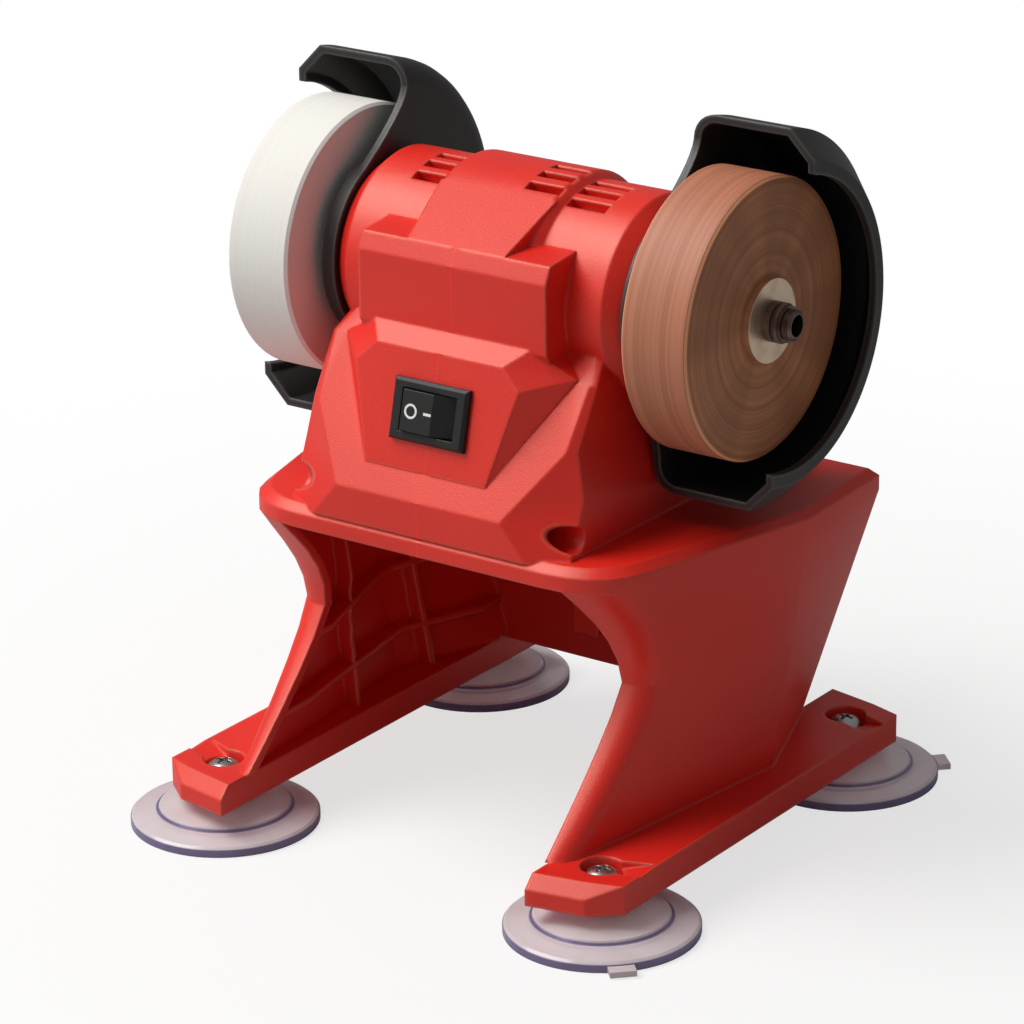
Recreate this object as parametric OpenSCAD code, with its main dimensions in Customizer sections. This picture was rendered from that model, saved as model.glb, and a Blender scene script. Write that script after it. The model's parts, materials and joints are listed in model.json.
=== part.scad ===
// Cordless bench grinder with two 75 mm wheels, a two-piece moulded housing and suction feet.
// Millimetres. +Z is up, +X runs along the spindle to the brown wheel, -Y is the user's side.
// The origin lies on the bench, below the middle of the spindle.

/* [Wheels and spindle] */
// Height of the spindle axis above the bench
axis_z = 152; // [148:1:158]
// Diameter of both wheels
wheel_d = 75; // [66:1:78]
// Thickness of both wheels
wheel_t = 20; // [14:1:22]
// Distance from the barrel's end to a wheel's inner face
wheel_gap = 7.5; // [7:0.1:9]
// Edge break on the wheels
wheel_edge = 0.8; // [0.3:0.1:2]
// Diameter of the spindle and of the wheel bores
spindle_d = 10; // [8:0.5:11]
// Diameter of the spindle between the bearings
shoulder_d = 13; // [12:0.5:14]
// Diameter of the spindle's threaded ends
thread_d = 8; // [7.4:0.1:8.6]
// Bore in the right end of the spindle
end_bore_d = 5.8; // [4:0.1:6]
// Depth of that bore
end_bore_len = 14; // [8:1:20]
// Diameter of the inner flange behind each wheel
flange_d = 27; // [22:1:29]
// Thickness of the flange disc
flange_t = 2.6; // [2:0.1:3]
// Diameter of the flange's sleeve through the guard
sleeve_d = 14; // [13:0.5:16]
// Outer washer diameter
washer_d = 22.4; // [20:0.2:26]
// Outer washer thickness
washer_t = 2; // [1:0.5:3]
// Diameter of the slim round spindle nut
nut_d = 10.8; // [10:0.1:13]
// Spindle nut thickness
nut_t = 5.1; // [4:0.1:7]
// Spindle that stands out of the nut
thread_out = 2.4; // [1:0.1:6]

/* [Bearings] */
// Outer diameter of the ball bearings
bearing_d = 26; // [24:1:28]
// Bearing width
bearing_t = 8; // [7:0.5:8.5]
// Ball diameter
ball_d = 4.6; // [4:0.1:5]
// Balls in each bearing
ball_count = 8; // [6:1:9]
// Lip of the housing that stops the bearing
bearing_lip = 2; // [1.5:0.5:3]

/* [Motor] */
// Outer diameter of the motor can
can_d = 43.4; // [42:0.2:45]
// Room between the motor can and each bearing
can_room = 6; // [5:0.5:8]
// Wall of the motor can
can_wall = 1.8; // [1.2:0.1:2.2]
// Thickness of the field magnets
magnet_t = 4; // [3:0.2:4.4]
// Magnet that reaches past the armature core at each end
magnet_past = 2; // [0:0.5:3]
// Arc of each magnet
magnet_arc = 120; // [90:5:140]
// Air gap between magnets and armature
air_gap = 0.5; // [0.4:0.1:0.8]
// Room between the armature's laminated core and each end of the can
core_room = 12; // [12:0.5:14]
// Poles of the armature
pole_count = 5; // [3:1:6]
// Diameter of one winding
coil_d = 7.6; // [6:0.2:8]
// Commutator diameter
commutator_d = 18; // [16:0.5:20]
// Commutator length
commutator_len = 7; // [6:0.5:8]
// Thickness of the brush plate that closes the can
brush_plate_t = 3; // [2:0.5:3.5]
// Carbon brush section
brush_w = 4; // [3:0.5:5]
// Carbon brush length
brush_len = 8; // [6:0.5:8.5]

/* [Barrel] */
// Diameter of the barrel's end sections
barrel_d = 56; // [54.5:0.5:60]
// Half the length of the barrel
barrel_half = 46; // [45:0.5:47]
// Diameter of the raised middle band
band_d = 60.4; // [58:0.2:64]
// Half the width of the middle band
band_half = 18.5; // [14:0.5:19]
// Chamfer at the barrel's ends
barrel_edge = 5; // [2:0.5:6]
// Wall of the housing
wall = 3; // [2.4:0.2:3.4]
// Width of a vent slot
vent_w = 3.2; // [2:0.2:4]
// Angle between neighbouring vent slots
vent_step = 11.5; // [9:0.5:14]
// Vent slots in each group
vent_count = 3; // [1:1:4]

/* [Tower] */
// Distance of the apron's face in front of the spindle
apron_y = 53.5; // [51:0.5:54]
// Distance of the skirt's upper edge in front of the spindle
neck_y = 33; // [31:0.5:35]
// Half the width of the skirt's lower edge
skirt_x = 26.4; // [22:0.2:30]
// Distance of the skirt's shoulders inside the barrel's ends
shoulder_inset = 6; // [4:0.5:8]
// Distance of the tower's flanks inside the barrel's ends
flank_inset = 1; // [1:0.1:2.5]
// Height of the skirt's lower edge above the deck
skirt_rise = 8.7; // [6:0.1:10]
// Half the width of the chest block
chest_x = 30; // [26:0.5:32]
// Distance of the chest's face in front of the spindle
chest_y = 36.5; // [35:0.5:38]
// Half the width of the hood at its foot
hood_x = 15.5; // [12:0.5:20]

/* [Base] */
// Height of the deck
deck_z = 94.3; // [92:0.1:97]
// Height of the arch between the legs
arch_z = 88; // [84:0.5:89]
// Height of the legs' waist
waist_z = 56; // [50:1:60]
// Distance of the waist's front edge in front of the spindle
waist_y = 30.5; // [26:0.5:36]
// Distance of the leg's toe in front of the spindle
toe_y = 66.5; // [62:0.5:68]
// Half the width of the arch at its top
arch_x = 45.5; // [43:0.5:47]
// Half the width between the legs at the waist and below
leg_x = 49; // [47.5:0.5:50]
// Distance of the rear wall's face behind the spindle
rear_y = 57; // [56:0.5:58]
// Thickness of the stiffening ribs in the legs
rib_t = 1.6; // [1.2:0.2:2.4]
// Depth of the stiffening ribs
rib_h = 4; // [2:0.5:6]

/* [Feet] */
// Distance between the left and right foot screws
foot_span_x = 125; // [122:1:128]
// Distance between the front and rear foot screws
foot_span_y = 120; // [116:1:124]
// Height of the underside of the feet
foot_z = 10; // [8:0.5:11]
// Height of the top of the feet
foot_top = 18; // [17:0.5:20]
// Foot past the screw, to the front and the rear
foot_past = 17; // [15:0.5:20]
// Outer half of the foot, from the screw
foot_out = 12; // [11:0.5:15]
// Distance that the foot's ends slant back to the outside
foot_slant = 3; // [0:0.5:5]
// Bevel along the upper edges of the foot's ends
foot_bevel = 3.5; // [2:0.5:4]
// Suction cup diameter
cup_d = 52; // [44:1:56]
// Diameter of the cup's neck
cup_neck_d = 13; // [11:0.5:15]
// Thickness of the cup's rim
cup_rim = 2.6; // [1.8:0.1:3.2]
// Shank diameter of the foot screws
foot_screw_d = 4; // [3:0.5:5]

/* [Guards] */
// Gap between a wheel and its guard
guard_gap = 10.3; // [8:0.1:11]
// Wall of the guards
guard_wall = 2.2; // [2:0.1:3]
// Guard that reaches past the wheel's outer face
guard_cover = 9.5; // [6:0.5:11]
// Chamfer of the guard's outer edge
guard_chamfer = 7.5; // [6:0.5:9]
// Depth of the flange below that chamfer
guard_flange = 3.5; // [2:0.5:5]
// Outer radius of the bend between the guard's rim and its side plate
guard_bend = 7; // [5:0.5:9]
// Diameter of the guard's hub ring
hub_d = 52.8; // [48:0.4:54]
// Thickness of the guard's hub ring
hub_t = 4; // [3:0.2:4.4]
// Distance of the guard's upper front edge behind the spindle
guard_brow = 8; // [4:0.5:12]
// Distance of the guard's lower front edge in front of the spindle
guard_toe = 11; // [8:0.5:14]
// Circle of the guard screws
guard_screw_circle = 36; // [35.5:0.5:38]
// Shank diameter of the guard screws
guard_screw_d = 3.5; // [3:0.5:4]

/* [Switch] */
// Width of the switch bezel
bezel_w = 23.8; // [22:0.2:25]
// Height of the switch bezel
bezel_h = 16.5; // [15.5:0.1:18]
// Thickness of the bezel
bezel_t = 2; // [1:0.2:2.6]
// Width of the switch body behind the panel
switch_w = 19.2; // [18.4:0.2:20]
// Height of the switch body
switch_h = 13; // [12.6:0.2:14]
// Depth of the switch body
switch_len = 14; // [11:0.5:16]
// Radius of the rocker about its pin
rocker_r = 8.4; // [7.5:0.1:8.6]
// Angle that the rocker swings through
rocker_throw = 18; // [10:1:20]

/* [Battery] */
// Height of the pack's underside above the bench
pack_z = 22; // [20:0.5:24]
// Wall of the pack
pack_wall = 2; // [1.6:0.1:2.4]
// Cell diameter
cell_d = 18.2; // [17.5:0.1:18.4]
// Cell length
cell_len = 65; // [60:0.5:65.5]
// Cells in the pack
cell_count = 5; // [4:1:5]
// Half the width of the dock between its rails
dock_half = 22; // [20:0.5:24]
// Angle that the latch swings from its drawn place to lock the pack
latch_lock = 10; // [9:0.5:12]
// Width of the latch lever
latch_w = 12; // [10:1:14]

/* [Fits] */
// Running clearance on a radius
run_gap = 0.05; // [0.02:0.01:0.1]
// Sliding clearance on each side
slide_gap = 0.3; // [0.2:0.05:0.5]

/* [Hidden] */
$fn = 64;
far = 200;

// Places along the spindle, from the middle outwards
bearing_out = barrel_half - bearing_lip;
bearing_in = bearing_out - bearing_t;
guard_face = barrel_half + hub_t;
wheel_in = barrel_half + wheel_gap;
wheel_out = wheel_in + wheel_t;
nut_in = wheel_out + washer_t;
nut_out = nut_in + nut_t;
spindle_end = nut_out + thread_out;
end_wall = bearing_lip + 2.5;
boss_t = 3;
race_t = 2.6;
pitch_r = (bearing_d + spindle_d) / 4;

// Motor
can_half = bearing_in - can_room;
core_len = 2 * (can_half - core_room);
magnet_len = core_len + 2 * magnet_past;
can_in_r = can_d / 2 - can_wall;
magnet_in_r = can_in_r - magnet_t;
core_r = magnet_in_r - air_gap;
core_mid = -2;
coil_r = coil_d / 2;
coil_circle = (core_r + shoulder_d / 2) / 2 - 0.4;
end_turn_t = 3.6;
commutator_x = core_mid + core_len / 2 + end_turn_t + 1.4;
shaft_hole_r = shoulder_d / 2 + 1.5;
cradle_x = [3, band_half - 0.4];
cradle_t = 1.6;

// Barrel and tower
flank_x = barrel_half - flank_inset;
shoulder_x = barrel_half - shoulder_inset;
bore_r = barrel_d / 2 - wall;
band_edge = 1.2;
skirt_z = deck_z + skirt_rise;
cheek_z = skirt_z + 6.4;
neck_z = axis_z - 15;
shoulder_z = axis_z - 30.5;
pod_top_z = axis_z - 11;
pod_top_y = chest_y + 5.5;
pod_low_z = skirt_z + 7;
pod_low_y = skirt_y(pod_low_z) + 0.3;
pod_lean = atan((pod_low_y - pod_top_y) / (pod_top_z - pod_low_z));
chest_low = axis_z - 8;
chest_top = axis_z + 11;
switch_z = (pod_top_z + pod_low_z) / 2;
switch_y = pod_top_y + (pod_top_z - switch_z) * tan(pod_lean);

// Screws that join the housing's halves: distance behind the spindle, height, reach of the tunnel
bolt_sites = [
  [-45, deck_z + 5, flank_x - 1.5], [45, deck_z + 5, flank_x - 1.5], [28, axis_z - 30, shoulder_x + 1]
];
bolt_d = 4;
bolt_head_d = 7;
bolt_head_t = 3.2;
bolt_nut_t = 3.2;
bolt_past = 1.8;
bolt_seat = 14;
tunnel_d = 7.6;
tunnel_wall = 2;

// Feet
foot_x = foot_span_x / 2;
foot_y = foot_span_y / 2;
foot_in = leg_x + 1;
foot_end = foot_y + foot_past;
foot_side = foot_x + foot_out;
foot_corner = 8;
toe_bend = 1.2;
screw_seat = foot_top - 4.2;
washer_foot_t = 0.8;
screw_bite = 4;

// Guards
guard_r = wheel_d / 2 + guard_gap + guard_wall;
guard_lip = wheel_out + guard_cover;
guard_hole_r = sleeve_d / 2 + 3;
plate_r = guard_r - guard_bend;
guard_screw_head_t = flange_t - 0.6;

// Battery dock and pack
cell_pitch = cell_d + 0.7;
pack_room = 1.5;
pack_w = cell_len + 2 * (pack_wall + pack_room);
pack_h = cell_count * cell_pitch + 2 * pack_wall + pack_room;
dock_t = 2;
dock_z = pack_z + 8;
dock_h = pack_h - 42;
rail_y = rear_y + dock_t;
lip_y = rail_y + 2.2;
lip_t = 1.8;
rail_w = 4;
rail_out = dock_half + rail_w;
pack_y = lip_y + lip_t + slide_gap + 0.2;
pack_t = cell_d + 0.3 + 2 * pack_wall;
pack_back = pack_y + pack_t;
pack_split = pack_y + pack_t / 2;
pack_r = 4;
terminal_h = 7;
head_low = dock_z + terminal_h + slide_gap;
head_top = head_low + dock_h - 22;
blade_t = 0.8;
blade_len = 9;
blade_w = 3;
blade_y = lip_y - 2;
blade_low = dock_z + terminal_h - 4;
latch_z = dock_z + dock_h + 4;
latch_y = rail_y + 0.6;
latch_pin_d = 2;
latch_boss_d = latch_pin_d + 1.4;
latch_top = latch_z + 14;
lever_t = 1.6;
tooth_h = 2.5;
tooth_w = latch_w - 4;
tooth_z = latch_z + 7;
tooth_bite = (tooth_z - latch_z + tooth_h / 2) * tan(latch_lock);
ear_t = 3;
channel = latch_w / 2 + ear_t + 2 * slide_gap;
terminal_mid = (channel + dock_half - rail_w) / 2;
terminal_x = [-terminal_mid, terminal_mid];
lead_d = 2.4;
lead_x = terminal_mid;
lead_y = 33;
lead_z = dock_z + 4.5;
lead_hole_d = lead_d + 2;
lead_back = rear_y - 9;
duct_w = lead_hole_d + 4;
duct_wall = 1.6;
strap_t = 0.3;

// Helpers

function unit(v) = v / norm(v);
function mix(a, b, t) = a + (b - a) * t;
function bend(a, b, c, t) = mix(mix(a, b, t), mix(b, c, t), t);

// Solid through a stack of outlines that all have the same number of points.
module skin(rows) {
  n = len(rows[0]);
  m = len(rows);
  polyhedron(
    points = [for (row = rows) each row],
    faces = concat(
      [[for (i = [0 : n - 1]) i]],
      [for (j = [0 : m - 2]) for (i = [0 : n - 1])
        let (k = (i + 1) % n) each [
          [j * n + i, (j + 1) * n + i, (j + 1) * n + k],
          [j * n + i, (j + 1) * n + k, j * n + k]
        ]],
      [[for (i = [n - 1 : -1 : 0]) (m - 1) * n + i]]
    )
  );
}

// Turns a profile given as distance along the spindle and radius about the spindle.
module turn(profile) {
  translate([0, 0, axis_z]) rotate([0, 90, 0]) rotate_extrude()
    polygon([for (p = profile) [p.y, p.x]]);
}

// Rod along the spindle's direction, from x = a to x = b.
module rod(a, b, d, y = 0, z = axis_z) {
  translate([a, y, z]) rotate([0, 90, 0]) cylinder(h = b - a, d = d);
}

// Tube about the spindle, from x = a to x = b.
module ring(a, b, outer, inner) {
  difference() {
    rod(a, b, outer);
    rod(a - 1, b + 1, inner);
  }
}

module both_sides() {
  children();
  mirror([1, 0, 0]) children();
}

module four_feet() {
  for (x = [-foot_x, foot_x], y = [-foot_y, foot_y]) translate([x, y, 0]) children();
}

// Frame of the switch: -Y points out of the pod's face and Z up along it.
module at_switch() {
  translate([0, -switch_y, switch_z]) rotate([-pod_lean, 0, 0]) children();
}

module rounded_plate(w, h, r, t) {
  linear_extrude(t) {
    square([w - 2 * r, h], center = true);
    square([w, h - 2 * r], center = true);
    for (x = [-1, 1], y = [-1, 1]) translate([x * (w / 2 - r), y * (h / 2 - r)]) circle(r);
  }
}

// Plate that stands upright, from y = a to y = b, centred on x = 0 and z = mid.
module upright(w, h, r, a, b, mid) {
  translate([0, b, mid]) rotate([90, 0, 0]) rounded_plate(w, h, r, b - a);
}

// Round lead swept along a route, with eight sides.
module lead(route) {
  sides = 8;
  last = len(route) - 1;
  skin([
    for (i = [0 : last])
      let (
        d = unit(route[min(i + 1, last)] - route[max(i - 1, 0)]),
        a = unit(cross(d, abs(d.x) > 0.9 ? [0, 0, 1] : [1, 0, 0])),
        b = cross(d, a)
      )
      [for (k = [0 : sides - 1])
        route[i] + lead_d / 2 * (a * cos(360 * k / sides) + b * sin(360 * k / sides))]
  ]);
}

// Housing

function skirt_y(z) = mix(apron_y, neck_y, (z - skirt_z) / (neck_z - skirt_z));
function rise(t) = 1 - cos(90 * t);
function front_y(z) =
  z >= arch_z ? apron_y
  : z >= waist_z ? mix(waist_y, apron_y, rise((z - waist_z) / (arch_z - waist_z)))
  : mix(waist_y, toe_y, pow((waist_z - z) / (waist_z - foot_top), toe_bend));
function above_waist(z) = max(0, min(1, (z - waist_z) / (arch_z - waist_z)));
function inner_x(z) = mix(leg_x, arch_x, above_waist(z));
function lean(z) = (min(z, arch_z) - foot_top) / (arch_z - foot_top);
function crease(z) = 3 * max(0, 1 - abs(z - waist_z) / (arch_z - waist_z));

// Half outline of the base at height z: front middle, rounded front corner, side crease,
// widest point, rear corner and rear middle.
function base_outline(z) =
  let (
    soft = pow(above_waist(z), 3),
    edge = [mix(inner_x(z), arch_x - 5.5, soft), -front_y(z)],
    depth = z >= waist_z ? mix(6, 15.5, soft)
                         : mix(8, 6, (z - foot_top) / (waist_z - foot_top)),
    side = [mix(foot_in + 5.5, foot_in + 12, lean(z)), edge.y + depth],
    corner = [side.x - mix(1.5, 3.5, soft), edge.y],
    wide = [mix(foot_in + 15, foot_in + 26, lean(z)), 18],
    rear = [mix(foot_in + 0.5, foot_in + 24, lean(z)), rear_y]
  )
  [
    [0, edge.y],
    for (t = [0 : 0.2 : 1]) bend(edge, corner, side, t),
    mix(side, wide, 0.6) + [crease(z), 0],
    wide, rear, [0, rear_y]
  ];

// Steps that take the points of that outline inside the walls.
inward = concat([[0, 1]], [for (i = [0 : 6]) [-1, 1]], [[-1, 0], [-1, -1], [0, -1]]);

function base_row(z, d) =
  let (p = base_outline(z), n = len(p) - 1)
  [for (i = [0 : n])
    let (x = i == 0 || i == n ? (d > 0 ? -1 : 0) : p[i].x + d * inward[i].x)
    [x, p[i].y + d * inward[i].y, z]];

base_levels = concat(
  [for (t = [0 : 0.2 : 0.9]) mix(foot_top, waist_z, t)],
  [for (t = [0 : 0.2 : 1]) mix(waist_z, arch_z, t)]
);

// Half base without its arch. With d over 0 it is the space d inside the walls, under the deck.
module base_solid(d = 0) {
  deck_edge = 2.2;
  skin(concat(
    d > 0 ? [[for (p = base_row(foot_top, d)) [p.x, p.y, foot_top - 1]]] : [],
    [for (z = base_levels) base_row(z, d)],
    d > 0
      ? [base_row(deck_z - wall, d)]
      : [base_row(deck_z - deck_edge, 0),
         [for (p = base_row(deck_z, deck_edge)) [max(0, p.x), p.y, p.z]]]
  ));
}

module arch_cut() {
  translate([0, rear_y - wall, 0]) rotate([90, 0, 0]) linear_extrude(far)
    polygon([[-1, 0], [leg_x, 0], [leg_x, waist_z], [arch_x, arch_z], [-1, arch_z]]);
}

module leg_ribs() {
  intersection() {
    difference() {
      base_solid();
      base_solid(wall + rib_h);
      translate([-1, -far, -1]) cube([leg_x + 2, 2 * far, deck_z]);
    }
    union() {
      for (y = [-10, 26]) translate([0, y - rib_t / 2, 0]) cube([far, rib_t, arch_z]);
      for (z = [mix(foot_top, arch_z, 0.17), mix(foot_top, arch_z, 0.43)])
        translate([0, -far, z - rib_t / 2]) cube([far, 2 * far, rib_t]);
    }
  }
}

// Duct on the rear wall that hides the lead from the dock.
module lead_duct() {
  low = lead_z - duct_w / 2;
  front = lead_back - duct_w / 2;
  difference() {
    translate([lead_x - duct_w / 2, front, low]) cube([duct_w, rear_y - 1 - front, deck_z - 15 - low]);
    translate([lead_x - duct_w / 2 + duct_wall, front + duct_wall, low + duct_wall])
      cube([duct_w - 2 * duct_wall, rear_y - wall - front - duct_wall, deck_z]);
  }
}

// Foot bar with slanting ends, chamfered outer corners and a scoop beside each screw. Only its ends are
// bevelled, by d.
function foot_row(z, d) =
  let (
    toe = foot_end - foot_slant,
    end = [[foot_in, foot_end - d], [foot_side - foot_corner - d * 0.4, toe - d],
           [foot_side, toe - foot_corner * 0.8]]
  )
  [for (p = end) [p.x, -p.y, z], for (i = [2 : -1 : 0]) [end[i].x, end[i].y, z]];

module foot_bar() {
  recess_d = 11.5;
  difference() {
    skin([foot_row(foot_z, 0), foot_row(foot_top - foot_bevel, 0), foot_row(foot_top, foot_bevel)]);
    for (y = [-foot_y, foot_y]) translate([foot_x, y, 0]) {
      translate([0, 0, foot_z - 1]) cylinder(h = foot_top, d = foot_screw_d + 0.4);
      translate([0, 0, screw_seat]) cylinder(h = foot_top, d = recess_d);
      rotate([0, -14, y > 0 ? -20 : 20]) translate([0, -4, screw_seat + 0.4]) cube([far, 8, foot_top]);
    }
  }
}

// Rows of the tower: height, half width and depth of the skirt, half width and depth of the flank.
tower_rows = [
  [deck_z - 1, 33.6, apron_y, flank_x, apron_y - 5.7],
  [deck_z, 33.6, apron_y, flank_x, apron_y - 5.7],
  [skirt_z, skirt_x, apron_y, flank_x, apron_y - 9.3],
  [cheek_z, mix(skirt_x, shoulder_x, 0.35), skirt_y(cheek_z), flank_x, skirt_y(cheek_z) - 8.1],
  [shoulder_z, shoulder_x, skirt_y(shoulder_z), shoulder_x + 2.5, skirt_y(shoulder_z) - 1.8],
  [neck_z, shoulder_x + 1, neck_y, shoulder_x + 2.5, neck_y - 1.5],
  [neck_z + 6, shoulder_x - 2, neck_y - 7, shoulder_x, neck_y - 8.5]
];

module tower_solid() {
  skin([for (r = tower_rows) [for (p = [[0, -r[2]], [r[1], -r[2]], [r[3], -r[4]],
                                        [r[3], r[4]], [r[1], r[2]], [0, r[2]]]) [p.x, p.y, r[0]]]]);
}

// Upright hollow of half width x, its slanted walls set back from the skirt.
module hollow(x, back) {
  y0 = apron_y - wall - back;
  y1 = skirt_y(shoulder_z) - wall - min(back, 1);
  y2 = neck_y - wall - min(back, 1);
  side = [[y0, deck_z + wall], [y0, skirt_z], [y1, shoulder_z], [y2, neck_z - wall]];
  translate([-1, 0, 0]) rotate([90, 0, 90]) linear_extrude(x + 1)
    polygon(concat(side, [for (i = [3 : -1 : 0]) [-side[i].x, side[i].y]]));
}

// Hollow of the tower: deep behind the skirt, less deep where the corners fall away.
module tower_cavity() {
  hollow(skirt_x - 2, 0);
  hollow(shoulder_x - 2, 6.5);
}

// Pod that carries the switch: a six-sided face that stands out of the skirt.
module pod_solid() {
  pod_side_z = pod_top_z - 5.5;
  pod_foot = 19.4;
  function on_face(z) = -(pod_top_y + (pod_top_z - z) * tan(pod_lean));
  face = [[-pod_foot, pod_low_z], [pod_foot, pod_low_z], [26, pod_side_z], [20, pod_top_z],
          [-20, pod_top_z], [-26, pod_side_z]];
  root = [[-pod_foot, pod_low_z], [pod_foot, pod_low_z], [37, neck_z + 1], [25, chest_low + 1],
          [-25, chest_low + 1], [-37, neck_z + 1]];
  root_y = [pod_low_y - 0.3, pod_low_y - 0.3, neck_y, chest_y, chest_y, neck_y];
  skin([
    [for (p = root) [p.x, 10 - neck_y, p.y]],
    [for (i = [0 : 5]) [root[i].x, -root_y[i], root[i].y]],
    [for (p = face) [p.x, on_face(p.y), p.y]]
  ]);
}

// Chest block in front of the barrel, with a bevelled brow.
module chest_solid() {
  translate([-chest_x, 0, 0]) rotate([90, 0, 90]) linear_extrude(2 * chest_x)
    polygon([[-chest_y, chest_low], [-chest_y, chest_top], [-chest_y + 2.3, chest_top + 4.6],
             [-barrel_d / 2 + 7, chest_top + 6], [-barrel_d / 2 + 7, neck_z - 1], [-neck_y + 1, neck_z - 1]]);
}

// Hood that rises from the brow to the middle band.
module hood_solid() {
  foot_y0 = chest_y - 2.3;
  foot_z0 = chest_top + 4.6;
  tangent = acos(band_d / 2 / norm([foot_y0, foot_z0 - axis_z])) + atan2(foot_z0 - axis_z, foot_y0);
  top_y = band_d / 2 * cos(tangent);
  top_z = axis_z + band_d / 2 * sin(tangent);
  function span(x, y, z) = [[-x, -y, z], [x, -y, z], [x, -y + 12, z - 12], [-x, -y + 12, z - 12]];
  skin([span(hood_x, foot_y0, foot_z0), span(band_half, top_y, top_z)]);
}

module barrel_solid() {
  r = barrel_d / 2;
  rb = band_d / 2;
  turn([[0, 0], [barrel_half, 0], [barrel_half, r - barrel_edge * 0.8], [barrel_half - barrel_edge, r],
        [band_half + band_edge, r], [band_half, rb - band_edge * 0.6], [band_half - band_edge, rb], [0, rb]]);
}

module vent_group(x, len, angle) {
  for (i = [0 : vent_count - 1])
    translate([x, 0, axis_z]) rotate([angle + i * vent_step, 0, 0])
      translate([-len / 2, -vent_w / 2, bore_r - 2]) cube([len, vent_w, band_d]);
}

// Everything of one half that stands outside, before it is hollowed.
module half_outside() {
  intersection() {
    union() {
      tower_solid();
      pod_solid();
      chest_solid();
      hood_solid();
      barrel_solid();
    }
    translate([0, -far, 0]) cube([far, 2 * far, far * 2]);
  }
}

module half_inside() {
  tower_cavity();
  rod(-1, barrel_half - end_wall, 2 * bore_r);
  translate([-1, -chest_y + wall, chest_low + wall])
    cube([chest_x + 1 - wall, chest_y - wall, chest_top - chest_low - wall]);
  at_switch() translate([-1, wall, -switch_h / 2 - wall])
    cube([switch_w / 2 + 5, switch_len, switch_h + 2 * wall]);
}

// Bearing seat, motor cradle, screw bosses and bolt sleeves inside one half.
module half_fittings() {
  ring(bearing_in, barrel_half - end_wall + 1, bearing_d + 2 * boss_t, bearing_d);
  for (x = cradle_x) ring(x, x + cradle_t, 2 * bore_r + 1, can_d + 2 * slide_gap);
  guard_screw_sites() rod(bearing_in, barrel_half - end_wall + 1, guard_screw_d + 4, 0, 0);
  for (s = bolt_sites) bolt_block(s);
}

// Block about a screw tunnel, from the parting plane to the flank.
module bolt_block(site) {
  side = tunnel_d + 2 * tunnel_wall;
  translate([0, site[0] - side / 2, site[1] - side / 2]) cube([site[2], side, side]);
}

module guard_screw_sites() {
  r = guard_screw_circle / 2;
  for (a = [40, 160, 280]) translate([0, r * cos(a), axis_z + r * sin(a)]) children();
}

module half_holes() {
  rod(bearing_in - 1, bearing_out, bearing_d);
  rod(0, barrel_half + 1, bearing_d - 5);
  guard_screw_sites() rod(bearing_in - 1, barrel_half + 1, guard_screw_d, 0, 0);
  for (s = bolt_sites) {
    rod(-1, bolt_seat + 1, bolt_d + 0.4, s[0], s[1]);
    rod(bolt_seat, far, tunnel_d, s[0], s[1]);
  }
  at_switch() translate([-1, -far / 2, -switch_h / 2 - 0.1])
    cube([switch_w / 2 + 1.1, far / 2 + wall + 1, switch_h + 0.2]);
  for (s = dock_screw_sites) translate([s[0], rear_y + 1, s[1]]) rotate([90, 0, 0])
    cylinder(h = wall + 2, d = dock_screw_d);
  translate([lead_x, rear_y + 1, lead_z]) rotate([90, 0, 0]) cylinder(h = wall + 2, d = lead_hole_d);
  translate([lead_x, lead_y, deck_z - wall - 1]) cylinder(h = 2 * wall + 2, d = lead_hole_d);
}

// One half for x > 0, without its vents.
module housing_half() {
  difference() {
    union() {
      difference() {
        base_solid();
        base_solid(wall);
        arch_cut();
      }
      leg_ribs();
      lead_duct();
      foot_bar();
      difference() {
        half_outside();
        half_inside();
      }
      intersection() {
        half_fittings();
        half_outside();
      }
    }
    half_holes();
  }
}

module housing_right() {
  color("firebrick") difference() {
    housing_half();
    vent_group(band_half - 6.2, 10.8, -1);
    vent_group(band_half + 7.7, 12.2, 1);
  }
}

module housing_left() {
  color("firebrick") mirror([1, 0, 0]) difference() {
    housing_half();
    vent_group(band_half + 5.7, 10, 2.6);
  }
}

module housing_bolts() {
  color("silver") for (s = bolt_sites) {
    rod(-bolt_seat - bolt_nut_t - bolt_past, bolt_seat, bolt_d, s[0], s[1]);
    difference() {
      rod(bolt_seat, bolt_seat + bolt_head_t, bolt_head_d, s[0], s[1]);
      rod(bolt_seat + bolt_head_t - 1.6, bolt_seat + bolt_head_t + 1, 2.4, s[0], s[1]);
    }
  }
}

module housing_nuts() {
  across = bolt_head_d + 0.3;
  color("silver") for (s = bolt_sites) difference() {
    translate([-bolt_seat - bolt_nut_t, s[0], s[1]]) rotate([0, 90, 0])
      cylinder(h = bolt_nut_t, d = across, $fn = 6);
    rod(-bolt_seat - bolt_nut_t - 1, -bolt_seat + 1, bolt_d, s[0], s[1]);
  }
}

// Guards

// Part of the YZ plane that the side plate covers, about the spindle, with +Y to the rear.
module plate_region() {
  r = hub_d / 2;
  edge = plate_r - 1;
  top = [for (t = [0 : 0.125 : 1])
    bend([guard_brow, edge], [guard_brow - 1.5, edge - 6.5], [-0.56 * r, 0.82 * r], t)];
  low = [for (t = [0 : 0.125 : 1])
    bend([-0.85 * r, -0.52 * r], [-guard_toe - 1, -r], [-guard_toe, -edge], t)];
  circle(r);
  polygon(concat([[guard_brow, far]], top, [[0, 0]], low, [[-guard_toe, -far], [far, -far], [far, far]]));
}

module rim_region() {
  polygon([[guard_brow, far], [guard_brow, 0], [-guard_toe, 0],
           [-guard_toe, -far], [far, -far], [far, far]]);
}

// Stands a drawing of the YZ plane up on the spindle, from x = a to x = b.
module along_spindle(a, b) {
  translate([a, 0, axis_z]) rotate([90, 0, 90]) linear_extrude(b - a) children();
}

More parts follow.
